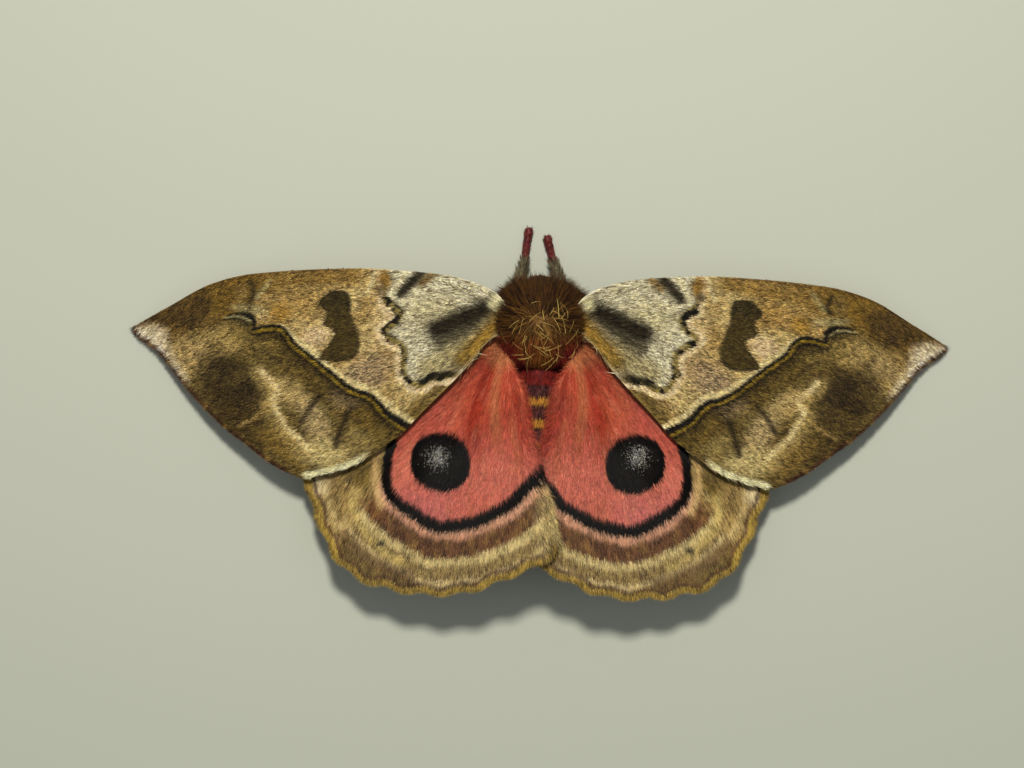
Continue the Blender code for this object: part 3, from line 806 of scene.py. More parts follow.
@dataclass(frozen=True)
class ForewingMarkings:
    """The camouflage of the forewing's upper face. Places are distance out and forward of the midline."""

    middle_line: Points = (
        (36.9, 8.2), (36.4, 5.1), (36.2, 2.4), (35.9, 0.65), (34.9, 0.9), (33.6, 1.05), (32.4, 0.9),
        (31.6, 0.2),
        (30.8, -1.0), (29.4, -2.05), (27.7, -3.3), (25.5, -5.1), (23.3, -6.6), (20.7, -7.5), (18.7, -9.6),
        (16.1, -11.1), (14.2, -12.6),
    )
    base_line: Points = (
        (19.4, 8.6), (19.2, 6.2), (19.2, 4.3), (17.5, 3.0), (18.0, 1.7), (19.3, 0.4), (16.9, -1.4),
        (16.9, -4.0),
        (16.0, -5.6), (14.6, -5.8), (13.4, -5.0), (11.3, -4.6), (9.6, -4.6),
    )
    zigzag: Points = (
        (19.2, 4.6), (17.5, 3.0), (18.0, 1.7), (19.3, 0.4), (16.9, -1.4), (16.9, -4.0), (16.0, -5.6),
        (14.6, -5.8),
        (13.4, -5.0), (11.3, -4.6),
    )
    patch: Points = (
        (25.3, 5.6), (26.4, 5.4), (27.8, 4.1), (27.5, 3.4), (26.7, 2.8), (27.2, 1.3), (26.2, 0.8),
        (25.7, 0.4),
        (25.9, -0.4), (26.8, -1.7), (27.6, -2.9), (26.8, -3.2), (24.8, -3.3), (23.2, -2.8), (22.5, -1.6),
        (22.5, -0.3), (23.1, 1.3), (23.6, 2.6), (23.7, 4.2), (24.2, 5.4),
    )
    hook: Points = ((39.4, 2.15), (38.4, 2.4), (37.2, 2.4), (36.2, 2.0), (35.9, 1.4), (35.95, 0.6))
    hook_inner: Points = ((39.8, 1.65), (38.4, 1.8), (37.5, 1.6), (36.7, 1.15))
    pale_zigzag: Points = (
        (34.9, -4.6), (34.1, -5.5), (32.6, -7.0), (33.3, -8.5), (32.1, -10.6), (31.6, -11.6), (30.0, -12.9),
        (28.7, -14.4),
    )
    pale_tip: Points = (
        (51.6, 0.2), (50.2, 0.7), (48.6, 0.7), (47.2, 0.1), (46.9, -1.4), (46.2, -3.2), (44.6, -5.4),
        (44.9, -6.9),
        (48.2, -3.0), (50.0, -1.5),
    )
    dark_tip: Points = ((50.6, 1.1), (47, 3.3), (43, 5.2), (41.2, 3.6), (42.6, 1.2), (44.6, -0.2),
                        (47.0, 0.6))

    def paint(self, canvas: Canvas, sheet: "WingSheet") -> None:
        """Paints the markings.

        Args:
            canvas: the places to paint, in the outer area's ground tone.
            sheet: the wing that they lie on.
        """
        broad, fine = canvas.blotches(3.2, 1), canvas.blotches(0.9, 2)
        silky = canvas.streaks(0.8, 5, 3)
        middle, middle_share = canvas.signed(self.middle_line, [(0, -14), (0, 12), (36.9, 12)])
        base, _ = canvas.signed(self.base_line, [(0, -6), (0, 12), (19, 12)])
        from_front, _ = line_distance(sheet.front.points[::3], canvas.places)
        from_outer, _ = line_distance(sheet.margin[::6], canvas.places)
        from_hind, _ = line_distance(sheet.hind.points[::3], canvas.places)
        self.paint_outer_area(canvas, broad, fine, silky, middle)
        self.paint_middle_area(canvas, broad, silky, middle)
        self.paint_front_edge(canvas, from_front, silky)
        canvas.lay(Tone("E6E0C2", "847959", 0.32), 1 - smooth_step((-0.3, 0.3), base))
        self.paint_base(canvas, base, fine, from_hind)
        self.paint_costal_marks(canvas)
        self.paint_middle_line(canvas, middle, middle_share)
        self.paint_patch(canvas, fine)
        self.paint_hook(canvas)
        self.paint_margin(canvas, from_outer, from_hind, sheet.plan.veins)

    def paint_outer_area(self, canvas: Canvas, broad: Array, fine: Array, silky: Array,
                         middle: Array) -> None:
        """Paints the area beyond the middle line: mottled brown with a dark cloud and a pale zigzag."""
        cloud = smooth_step((0.4, 0.7), 0.5 * broad + 0.3 * fine + 0.2 * silky)
        canvas.lay(Tone("7A6130", "3A2B13", 0.48), 0.7 * cloud)
        near = (1 - smooth_step((2.2, 4.6), middle)) * (middle > 0)
        canvas.lay(Tone("806828", "3C2F14", 0.46), 0.75 * near)
        canvas.spot((44.6, -2.2), (3.4, 2.4), Tone("DCC388", "7E683A", 0.34), 30, 0.8, 0.7)
        canvas.spot((39.9, -0.4), (2.3, 1.5), Tone("D8BF7E", "7C6636", 0.32), 20, 0.85, 0.6)
        canvas.spot((36.2, -0.9), (3.2, 1.4), Tone("B69E56", "62502A", 0.38), 25, 0.75, 0.6)
        canvas.line([(45.8, -6.0), (42.6, -4.2), (40.2, -2.6), (38.2, -1.9)], 0.9,
                    Tone("DCC07A", "846E3A", 0.28), 0.7, 0.75)
        canvas.spot((38.9, -6.2), (4.6, 2.9), Tone("55421E", "261C0C", 0.55), 35, 0.95, 0.4)
        canvas.spot((41.6, 1.3), (1.6, 0.9), Tone("6A5428", "34280F", 0.5), 20, 0.6)
        canvas.spot((37.2, -11.2), (5.2, 1.9), Tone("5E491C", "2C210C", 0.52), 42, 0.85, 0.5)
        canvas.spot((31.2, -7.4), (2.3, 1.5), Tone("DFC78A", "86703E", 0.32), 35, 0.85, 0.6)
        canvas.spot((27.9, -10.9), (3.0, 1.5), Tone("DCC692", "7E6C46", 0.34), 60, 0.85, 0.6)
        canvas.spot((31.8, -14.0), (3.6, 1.5), Tone("A88A40", "564424", 0.4), 30, 0.75, 0.5)
        canvas.spot((26.6, -14.8), (3.6, 1.8), Tone("DCCB92", "8A7A44", 0.24), 10, 0.9, 0.5)
        canvas.spot((22.6, -13.2), (2.4, 1.5), Tone("BDA868", "64532C", 0.36), 40, 0.7, 0.6)
        canvas.spot((21.8, -10.2), (2.4, 1.3), Tone("8C7232", "423316", 0.42), 40, 0.7, 0.6)
        pale = 0.5 + 0.5 * fine
        canvas.line([(x + 0.5, y - 0.3) for x, y in self.pale_zigzag], 1.7, Tone("D2BA78", "7E6A38", 0.28),
                    0.7, 0.7)
        canvas.line(self.pale_zigzag, 0.7, Tone("F0DFAC", "B8A068", 0.14), 0.4, 0.95)
        canvas.lay(Tone("B09850", "5E4C24", 0.35), 0.25 * pale * (silky > 0.6))
        dark = Tone("40321A", "241B0E", 0.6)
        canvas.line([(29.6, -10.9), (28.6, -9.2), (27.2, -7.6)], 0.55, dark, 0.35, 0.9)
        canvas.line([(25.2, -13.8), (24.4, -11.2), (23.3, -8.9)], 0.75, dark, 0.4, 0.9)
        canvas.line([(36.2, -1.8), (34.2, -2.4), (32.4, -3.6)], 0.5, dark, 0.35, 0.6)
        canvas.line([(33.6, -8.9), (35.4, -10.4), (37.4, -11.6)], 0.45, Tone("C8AC68", "725C30", 0.3), 0.3,
                    0.75)

    def paint_middle_area(self, canvas: Canvas, broad: Array, silky: Array, middle: Array) -> None:
        """Paints the beige area between the two lines, greyer towards the hind edge."""
        within = 1 - smooth_step((-0.2, 0.2), middle)
        canvas.lay(Tone("E2CC90", "80693E", 0.36), within)
        warm = smooth_step((0.45, 0.75), 0.6 * broad + 0.4 * silky)
        canvas.lay(Tone("B8964C", "644B20", 0.42), 0.6 * warm * within)
        canvas.spot((29.8, 3.8), (3.4, 2.0), Tone("C6A458", "6C5024", 0.4), -8, 0.7, 0.7)
        canvas.spot((32.7, 2.6), (1.3, 1.3), Tone("BE9636", "70541C", 0.3), 0, 0.8, 0.7)
        canvas.spot((28.1, -0.4), (1.9, 1.3), Tone("E8D2AC", "9E865E", 0.22), -30, 0.85, 0.6)
        canvas.spot((21.8, -5.1), (4.2, 2.1), Tone("D0B890", "62503A", 0.5), -42, 0.85, 0.6)
        canvas.spot((20.0, 2.2), (1.2, 2.4), Tone("E4CE9C", "88744A", 0.26), 0, 0.7, 0.6)

    def paint_front_edge(self, canvas: Canvas, from_front: Array, silky: Array) -> None:
        """Paints the warm brown front edge, which darkens to the tip around the pale end."""
        out = canvas.out
        reach = profile([(17, 1.0), (22, 2.4), (30, 3.0), (34, 4.4), (40, 5.2), (52, 5.5)], out)
        band = 1 - smooth_step((0.5, 1.15), from_front / reach + 0.4 * (silky - 0.5))
        canvas.lay(Tone("AA8A3E", "62491E", 0.4), 0.85 * band * smooth_step((21, 23.5), out))
        rusty = smooth_step((33.5, 36.5), out)
        canvas.lay(Tone("967628", "523C14", 0.42), 0.7 * band * rusty)
        canvas.area(self.dark_tip, Tone("725828", "352711", 0.55), 1.1, 0.9)
        canvas.area(self.pale_tip, Tone("F2E6C8", "A08E68", 0.24), 0.8, 0.9)
        canvas.line([(52, 0.3), (50.6, -0.7), (49.2, -1.6), (47.6, -3.0)], 1.1, Tone("FAF0DA", "C0AE90", 0.1),
                    0.4, 0.9)
        rim = (1 - smooth_step((0.1, 0.4), from_front)) * smooth_step((22, 26), out)
        canvas.lay(Tone("5E421E", "34220D", 0.45), 0.65 * rim)

    def paint_base(self, canvas: Canvas, base: Array, fine: Array, from_hind: Array) -> None:
        """Paints the hairy base: cream with olive and golden hair, and the zigzag that ends it."""
        out, forward = canvas.out, canvas.forward
        canvas.spot((13.6, 3.0), (3.4, 2.0), Tone("E6DAA8", "84764E", 0.3), 0, 0.5, 0.8)
        canvas.line([(9.6, -0.8), (11.4, -2.4), (13.8, -4.0)], 2.6, Tone("C8BA80", "66593A", 0.38), 1.0, 0.75)
        canvas.line([(8.2, 1.8), (10.2, 0.6), (12.6, -0.7)], 1.8, Tone("5E5028", "2A2210", 0.5), 0.9, 0.8)
        canvas.line([(5.2, 4.2), (8.4, 3.0), (12.9, 1.0)], 2.4, Tone("3A2F16", "16120A", 0.6), 0.8, 0.97)
        canvas.line([(5.0, 2.3), (6.5, 0.8), (8.0, -0.9), (9.4, -2.6)], 2.3, Tone("AA8A36", "5E4A1A", 0.32),
                    0.8, 0.95)
        canvas.line([(5.4, 1.5), (6.9, 0.1), (8.2, -1.6)], 0.8, Tone("C8A448", "806426", 0.2), 0.5, 0.8)
        olive = (1 - smooth_step((0.6, 2.4), from_hind)) * smooth_step((9.0, 11.0), out) * (out < 18)
        canvas.lay(Tone("8C7436", "463616", 0.42), 0.85 * olive)
        canvas.line([(4.4, 5.6), (5.1, 5.0), (5.8, 4.3)], 1.5, Tone("E6E0B8", "B4AA7E", 0.05), 0.5, 0.95)
        jagged = 0.35 * (fine - 0.5)
        canvas.lay(Tone("F0DCB2", "AA946C", 0.14), self.stripe(base, (0.4, 1.2), jagged))
        canvas.line(self.zigzag, 0.75, Tone("96842E", "3E3414", 0.4), 0.25, 0.8)
        teeth = smooth_step((0.46, 0.56), canvas.blotches(0.62, 7))
        canvas.lay(Tone("211B0D", "120E07", 0.5),
                   teeth * (1 - smooth_step((0.42, 0.62), np.abs(base - 0.05) + jagged))
                   * (forward < 4.9) * (out > 11.0))
        canvas.line([(14.0, -5.2), (12.6, -4.75), (10.9, -4.5)], 0.7, Tone("2A2312", "15110A", 0.6), 0.35,
                    0.9)

    def paint_costal_marks(self, canvas: Canvas) -> None:
        """Paints the slanting dark and pale marks that end the base at the front edge."""
        canvas.line([(14.9, 6.7), (13.9, 7.6), (13.2, 8.4)], 1.1, Tone("94742E", "584218", 0.35), 0.4, 0.85)
        canvas.line([(17.5, 5.4), (16.2, 6.7), (14.9, 8.2)], 1.25, Tone("40371B", "1C170B", 0.6), 0.4, 0.95)
        canvas.spot((19.5, 7.1), (0.85, 1.2), Tone("A88436", "644A1C", 0.3), -15, 0.95, 0.5)
        canvas.spot((19.8, 5.6), (0.7, 0.7), Tone("6E5A26", "362A12", 0.45), 0, 0.7)
        pale = Tone("E0D8B4", "A4966C", 0.1)
        canvas.line([(18.5, 5.0), (17.7, 6.7), (16.9, 8.3)], 0.6, pale, 0.25, 0.9)
        canvas.line([(21.7, 5.4), (21.1, 6.8), (20.8, 8.3)], 0.45, pale, 0.3, 0.7)

    def paint_middle_line(self, canvas: Canvas, middle: Array, share: Array) -> None:
        """Paints the slanting line: cream inside, then black, gold and a second dark line that fades out."""
        on_wing = smooth_step((0.215, 0.235), share)
        away = middle + 0.14 * (canvas.blotches(0.8, 12) - 0.5)
        bold = profile([(0, 0.13), (0.55, 0.15), (0.75, 0.22), (0.88, 0.36), (1, 0.42)], share)
        cream = profile([(0.3, 0.0), (0.38, 0.6), (0.45, 0.95), (0.56, 0.6), (0.68, 0.95), (1, 1.0)], share)
        inner = smooth_step((-cream - 0.3, -cream + 0.1), away) * (away < 0) * (cream > 0.02)
        canvas.lay(Tone("E3D4A2", "A8925E", 0.1), on_wing * inner)
        shade = (1 - smooth_step((0.9, 2.4), away)) * (away > 0)
        canvas.lay(Tone("4E3E1A", "261C0C", 0.55), 0.75 * on_wing * shade)
        gold = 1 - smooth_step((0.12, 0.26), np.abs(away - bold - 0.3))
        speckle = 0.45 + 0.55 * smooth_step((0.25, 0.45), canvas.streaks(0.3, 1.6, 13))
        canvas.lay(Tone("A88C28", "5E4A12", 0.25), on_wing * gold * speckle)
        second = 1 - smooth_step((0.06, 0.22), np.abs(away - bold - 0.68))
        canvas.lay(Tone("241B0D", "140E07", 0.5), on_wing * second)
        canvas.lay(Tone("1E180C", "0F0C07", 0.5),
                   on_wing * (1 - smooth_step((bold, bold + 0.14), np.abs(away - 0.05))))

    def paint_patch(self, canvas: Canvas, fine: Array) -> None:
        """Paints the dark patch in the middle of the wing, with its darker rim."""
        canvas.area(self.patch, Tone("625224", "3A2E14", 0.4), 0.14)
        ring = SmoothCurve([*self.patch, self.patch[0]]).points[::2]
        away, _ = line_distance(ring, canvas.places)
        within = inside(ring, canvas.places)
        canvas.lay(Tone("2E2814", "1A160A", 0.5), 0.4 * within * (1 - smooth_step((0.1, 0.45), away)))
        canvas.lay(Tone("2A2614", "16130A", 0.5), 0.45 * within * smooth_step((2.6, 4.2), canvas.forward))
        canvas.lay(Tone("5C4A20", "30250F", 0.4), 0.35 * within * smooth_step((0.5, 0.8), fine))

    def paint_hook(self, canvas: Canvas) -> None:
        """Paints the small hook before the tip, and the dashes between it and the front edge."""
        canvas.spot((36.6, 3.1), (2.3, 0.6), Tone("C6BC8C", "786C42", 0.25), 5, 0.6)
        canvas.spot((37.4, 1.5), (1.5, 0.75), Tone("6C6038", "3A3018", 0.4), 10, 0.7)
        canvas.line([(39.7, 1.95), (38.4, 2.1), (37.3, 1.95), (36.5, 1.55)], 0.22,
                    Tone("C6BE90", "847850", 0.15), 0.12, 0.8)
        canvas.line(self.hook, 0.6, Tone("130E07", "0A0805", 0.5), 0.12, 1.0,
                    [(0, 0.35), (0.35, 0.6), (0.6, 1.2), (1, 0.85)])
        canvas.line(self.hook_inner, 0.2, Tone("2A210F", "19130A", 0.5), 0.12, 0.95)
        canvas.line([(36.6, 6.3), (36.0, 5.1), (36.4, 4.2)], 0.6, Tone("2A200F", "171009", 0.5), 0.3, 0.9)
        canvas.line([(35.6, 4.5), (35.0, 5.4), (34.1, 6.5)], 0.6, Tone("BDB688", "787048", 0.25), 0.35, 0.65)
        canvas.spot((37.6, 5.0), (1.0, 1.2), Tone("A08A54", "5A4822", 0.35), 20, 0.6, 0.7)

    @staticmethod
    def paint_margin(canvas: Canvas, from_outer: Array, from_hind: Array, veins: Points) -> None:
        """Paints the thin dark outer edge, broken by golden dots at the veins, and the pale hind hem."""
        forward = canvas.forward
        beside_tip = smooth_step((-17.4, -16.8), forward)
        edge = 1 - smooth_step((0.3, 0.5), from_outer)
        canvas.lay(Tone("6E4A2C", "352010", 0.45), edge * beside_tip)
        dots = np.zeros(len(forward))
        for share, _ in veins:
            dots = np.maximum(dots, np.exp(-(((canvas.across - share) / 0.012) ** 2)))
        canvas.lay(Tone("B08E4A", "6C5226", 0.25), 0.85 * edge * beside_tip * dots)
        hem = (1 - smooth_step((0.5, 1.0), from_hind)) * smooth_step((20.5, 22.5), canvas.out)
        canvas.lay(Tone("E8E4BC", "ACA272", 0.1), hem)

    @staticmethod
    def stripe(away: Array, limits: tuple, wobble: Array) -> Array:
        """Weight of a stripe between two distances from a line, with soft edges."""
        return smooth_step((-0.15, 0.15), away + wobble - limits[0]) * (
            1 - smooth_step((-0.15, 0.15), away + wobble - limits[1]))


@dataclass(frozen=True)
class HindwingMarkings:
    """The warning colours of the hindwing's upper face. Places are mm out and forward of the midline."""

    side: Side
    ring: Points = (
        (18.1, -12.9), (18.6, -15.1), (18.7, -17.8), (18.3, -19.4), (17.0, -20.7), (14.8, -22.2),
        (12.9, -23.2),
        (11.3, -23.5), (9.5, -23.2), (7.3, -22.7), (5.1, -21.5), (3.2, -20.4), (2.1, -19.2), (0.7, -17.6),
        (-0.3, -16.2), (-1.2, -14.6),
    )
    ring_half: float = 0.72
    ring_widths: Points = ((0, 0.85), (0.12, 0.88), (0.3, 1.05), (0.5, 1.12), (0.75, 1.0), (1, 1.1))
    eye_radius: float = 3.8
    eye_rim: float = 0.75

    @property
    def eye(self) -> tuple:
        """Centre of the eyespot."""
        return (12.0, -15.5) if self.side is Side.LEFT else (12.2, -15.25)

    @property
    def shine(self) -> tuple:
        """Centre of the eyespot's cluster of pale scales."""
        return (12.4, -14.9) if self.side is Side.LEFT else (12.5, -14.2)

    def eye_distance(self, places: Array) -> Array:
        """Distance outside the eyespot's edge, which has a small notch on its lower outer side."""
        x, y = (places - self.eye).T
        turn = np.degrees(np.arctan2(y, x))
        notch = 0.3 * np.exp(-((turn + 60) / 22) ** 2)
        square = 0.07 * np.cos(np.radians(4 * (turn - 42)))
        return np.hypot(x, y) - (self.eye_radius + square - notch)

    def paint(self, canvas: Canvas, sheet: "WingSheet") -> None:
        """Paints the markings.

        Args:
            canvas: the places to paint.
            sheet: the wing that they lie on.
        """
        fuzz = 0.34 * (canvas.streaks(0.28, 4, 21) - 0.5)
        ring, share = canvas.signed(self.ring, [(-1.5, -5), (2, 4), (24, 4), (20, -8)])
        from_outer, _ = line_distance(sheet.margin[::4], canvas.places)
        self.paint_border(canvas, ring + fuzz, from_outer)
        self.paint_field(canvas, ring)
        half = self.ring_half * profile(self.ring_widths, share)
        canvas.lay(Tone("0D0B09", "050404", 0.5), 1 - smooth_step((-0.1, 0.12), np.abs(ring + fuzz) - half))
        self.paint_eye(canvas)

    def paint_border(self, canvas: Canvas, ring: Array, from_outer: Array) -> None:
        """Paints the bands between the black ring and the outer margin."""
        out, forward = canvas.out, canvas.forward
        mottled, broad = canvas.blotches(0.8, 22), canvas.blotches(2.4, 23)
        wave = ring + 0.5 * (broad - 0.5)
        bands = (
            (0.4, 1.7, Tone("DCAE90", "A07A60", 0.25)),
            (1.7, 4.0, Tone("8A6040", "4A3222", 0.42)),
            (4.0, 5.1, Tone("DECE98", "968658", 0.25)),
            (5.1, 6.6, Tone("B49E66", "665036", 0.43)),
            (6.6, 7.3, Tone("DECC98", "927F5A", 0.26)),
            (7.3, 30.0, Tone("98824A", "5A462C", 0.38)),
        )
        for low, high, tone in bands:
            canvas.lay(tone, smooth_step((low - 0.25, low + 0.25), wave) * (wave < high + 0.4))
        golden = smooth_step((0.55, 0.8), canvas.streaks(0.35, 3, 24)) * smooth_step((1.4, 2.0), wave)
        canvas.lay(Tone("B4924E", "74562E", 0.3), 0.4 * golden * (wave < 4.3))
        side_on = smooth_step((0.0, 2.0), (out - 20.7) * 0.85 + (forward + 21.5) * 0.55)
        canvas.lay(Tone("BEA466", "665230", 0.4), side_on)
        pale = smooth_step((0.5, 0.75), 0.55 * broad + 0.45 * mottled)
        canvas.lay(Tone("C8B684", "7C6C44", 0.28), 0.8 * side_on * pale)
        canvas.spot((22.4, -16.6), (2.6, 1.8), Tone("98803E", "50401E", 0.42), 60, 0.9)
        canvas.line([(19.7, -13.2), (20.2, -16.0), (20.1, -18.6), (19.2, -21.0)], 0.9,
                    Tone("DCC088", "A0844F", 0.22),
                    0.4, 0.85)
        canvas.line([(26.8, -18.2), (26.0, -21.0), (24.4, -24.0), (22.2, -26.6), (19.4, -28.3)], 0.9,
                    Tone("E0CC94", "9A8650", 0.24), 0.5, 0.8)
        canvas.line([(24.0, -24.9), (21.4, -27.3), (18.2, -29.0), (15.5, -29.9)], 1.5,
                    Tone("86663F", "4A3524", 0.45), 0.6, 0.75)
        canvas.line([(22.7, -19.4), (22.9, -20.9), (22.3, -22.7), (20.2, -25.4), (18.8, -26.8),
                     (16.6, -28.0)], 1.0,
                    Tone("DCC884", "92804A", 0.25), 0.4, 0.85)
        canvas.spot((28.0, -18.9), (1.9, 1.3), Tone("EADCB6", "A6966C", 0.16), 0, 0.9)
        canvas.spot((19.2, -25.8), (0.6, 0.35), Tone("302A26", "1A1715", 0.5), -20, 0.85)
        tufts = (1 - smooth_step((0.6, 3.2), out + 2.2)) * smooth_step((-29.0, -26.5), forward)
        canvas.lay(Tone("E4D29A", "9A8858", 0.25), 0.85 * tufts * (ring > 0.5) * (forward < -17.0))
        rim = 1 - smooth_step((0.12, 0.32), np.abs(from_outer - 0.98 + 0.2 * (mottled - 0.5)))
        canvas.lay(Tone("74503A", "43301F", 0.5), 0.8 * rim)
        canvas.lay(Tone("BCA250", "766030", 0.3), 1 - smooth_step((0.65, 0.85), from_outer))

    def paint_field(self, canvas: Canvas, ring: Array) -> None:
        """Paints the red field with its silky streaks."""
        out, forward = canvas.out, canvas.forward
        field_weight = 1 - smooth_step((-0.6, -0.3), ring)
        silky, finer = canvas.streaks(1.1, 10, 31), canvas.streaks(0.4, 9, 32)
        low = 1 - smooth_step((-17.5, -9.0), forward)
        outside = smooth_step((8.0, 12.5), out)
        pale_streak = Tone("C0744C", "985034", 0.2)
        deep_streak = Tone("AE3C28", "7E241A", 0.35)
        canvas.lay(Tone("C65A42", "9C3C2C", 0.28), field_weight)
        canvas.lay(Tone("DA8672", "B4665A", 0.24), field_weight * 0.85 * low)
        canvas.lay(Tone("CC7060", "A2504A", 0.26), field_weight * 0.6 * outside * (1 - low))
        rosy = outside * (1 - smooth_step((-21.0, -17.5), forward))
        canvas.lay(Tone("D88680", "B46A6A", 0.22), field_weight * 0.7 * rosy)
        streaks = (
            (deep_streak, 0.85, ((5.4, -2.4), (6.9, -6.0), (7.9, -10.0), (8.2, -14.0)), (0.7, 1.2)),
            (pale_streak, 0.85, ((4.4, -1.8), (5.2, -5.0), (5.4, -9.0), (4.8, -13.5)), (0.55, 0.9)),
            (pale_streak, 0.45, ((7.2, -1.2), (9.4, -5.0), (11.4, -9.4)), (0.7, 1.2)),
            (deep_streak, 0.55, ((3.6, -2.6), (3.0, -6.0), (2.3, -10.0), (1.6, -14.0)), (0.5, 0.8)),
            (pale_streak, 0.5, ((3.4, -10.0), (2.6, -13.5), (2.2, -17.0)), (0.5, 0.8)),
        )
        for tone, strength, route, widths in streaks:
            canvas.lay(tone, field_weight * strength * self.soft_streak(canvas, route, widths))
        canvas.spot((5.2, -1.6), (2.4, 1.8), Tone("C48656", "965A38", 0.2), 30, 0.85)
        canvas.lay(deep_streak, field_weight * 0.3 * smooth_step((0.6, 0.9), silky) * (1 - 0.6 * low))
        canvas.lay(pale_streak, field_weight * 0.25 * (1 - smooth_step((0.1, 0.4), silky)))
        canvas.lay(Tone("D89A78", "B8745A", 0.15), field_weight * 0.3 * smooth_step((0.65, 0.9), finer))
        lap = self.soft_streak(canvas, [(8.0, -1.4), (12.0, -6.0), (16.0, -10.2), (18.4, -12.6)], (1.0, 0.9))
        canvas.lay(Tone("B87840", "84502A", 0.25), field_weight * 0.6 * lap)

    @staticmethod
    def soft_streak(canvas: Canvas, route: Points, widths: tuple) -> Array:
        """Weight of a soft streak that widens from its first width to its second."""
        away, share = line_distance(SmoothCurve(route).points[::3], canvas.places)
        half = widths[0] + (widths[1] - widths[0]) * share
        return (1 - smooth_step((0.3, 1.3), away / half)) * (1 - smooth_step((0.8, 1.0), share) * 0.6)

    def paint_eye(self, canvas: Canvas) -> None:
        """Paints the eyespot: a black rim round a brown-black ball with a grey bloom."""
        fuzz = 0.3 * (canvas.streaks(0.25, 3, 41) - 0.5)
        away = self.eye_distance(canvas.places) + fuzz
        canvas.lay(Tone("0A0808", "040404", 0.5), 1 - smooth_step((-0.12, 0.12), away))
        ball = 1 - smooth_step((-0.7, 0.3), away + self.eye_rim)
        canvas.lay(Tone("16110E", "090706", 0.45), ball)
        canvas.spot(self.shine, (1.9, 1.8), Tone("302E2C", "100F0E", 0.5), 0, 0.5, 0.8)


@dataclass(frozen=True)
class UnderMarkings:
    """The dull underside of a wing, which the photo hides: rosy brown with a middle line and a dark spot."""

    line: Points
    spot: tuple
    flush: tuple

    def paint(self, canvas: Canvas, sheet: "WingSheet") -> None:
        """Paints the markings on a canvas in its ground tone."""
        broad = canvas.blotches(2.5, 51)
        canvas.lay(Tone("8C6E4E", "543C28", 0.4), 0.6 * smooth_step((0.45, 0.7), broad))
        canvas.spot(self.flush, (9.0, 5.5), Tone("AC6A56", "7A4034", 0.3), -20, 0.8, 0.8)
        canvas.line(self.line, 0.8, Tone("4E3A2A", "302218", 0.5), 0.35, 0.85)
        canvas.spot(self.spot, (1.6, 1.6), Tone("2A2018", "15100C", 0.5), 0, 0.95, 0.25)
        canvas.spot(self.spot, (0.45, 0.45), Tone("CFC6B6", "A09480", 0.1), 0, 0.9, 0.4)
        away, _ = line_distance(sheet.margin[::6], canvas.places)
        canvas.lay(Tone("B8A078", "7C6644", 0.2), 0.7 * (1 - smooth_step((0.6, 1.2), away)))


# Wings


@dataclass(frozen=True)
class WingPlan:
    """Outline and veins of a wing.

    The front and hind edges run out from the root to the ends of the outer margin. A vein is its share of the
    way from the front edge to the hind edge, and the share of the wing's length at which it leaves its stem.
    """

    front: Points
    outer: Points
    hind: Points
    hind_pace: float
    veins: Points
    cross_vein: float
    cell: tuple
    scallops: int


FOREWING = WingPlan(
    front=((3.2, 2.6), (4.4, 4.4), (5.7, 5.7), (7.5, 6.6), (11, 7.6), (15.5, 8.1), (21.5, 8.4), (28, 8.2),
           (33.5, 7.8), (38, 7.2), (42.4, 5.8), (47, 3.2), (50.5, 1.2), (52, 0.2)),
    outer=((52, 0.2), (51.2, -0.7), (50, -1.4), (48.2, -2.8), (46, -5.4), (43.5, -8.2), (40, -11.5),
           (36.8, -13.8), (34, -15.8), (31.5, -17.1), (29.7, -17.7), (28.6, -17.8)),
    hind=((3.2, 0.6), (5.5, 0.2), (7, -0.9), (8.5, -3), (11, -5.8), (14.4, -9.3), (16.7, -11.8), (19, -13.6),
          (22.5, -16), (25, -17), (27.2, -17.6), (28.6, -17.8)),
    hind_pace=0.6,
    veins=((0.1, 0.08), (0.22, 0.5), (0.34, 0.46), (0.46, 0.46), (0.58, 0.08), (0.69, 0.36), (0.8, 0.24),
           (0.92, 0.08)),
    cross_vein=0.44,
    cell=(0.1, 0.58),
    scallops=0,
)

HINDWING = WingPlan(
    front=((3.4, 0.6), (5.4, 1.0), (9, 0.9), (16, -2.6), (22, -7), (26.4, -11.4), (28.5, -15), (29, -17.4)),
    outer=((29, -17.4), (28.7, -19.2), (27.9, -21.5), (26.6, -24.6), (25.4, -27), (23.6, -29.2),
           (21.3, -30.7),
           (18.4, -31.4), (15.6, -31.9), (12.8, -32), (10.1, -31.9), (7.5, -31.3), (4.8, -30.2), (2.4, -29.1),
           (0.2, -28.1), (-1.6, -27), (-2.8, -25.5)),
    hind=((3.4, -1.6), (3.9, -2.7), (2.9, -4.6), (2.1, -6.9), (1.4, -9.9), (0.6, -12.6), (-0.2, -14.6),
          (-0.9, -17.1), (-1.9, -19.4), (-2.4, -21.6), (-2.9, -24), (-2.8, -25.5)),
    hind_pace=1.0,
    veins=((0.08, 0.08), (0.2, 0.08), (0.32, 0.4), (0.44, 0.4), (0.57, 0.08), (0.69, 0.3), (0.81, 0.2),
           (0.92, 0.08)),
    cross_vein=0.38,
    cell=(0.2, 0.57),
    scallops=9,
)


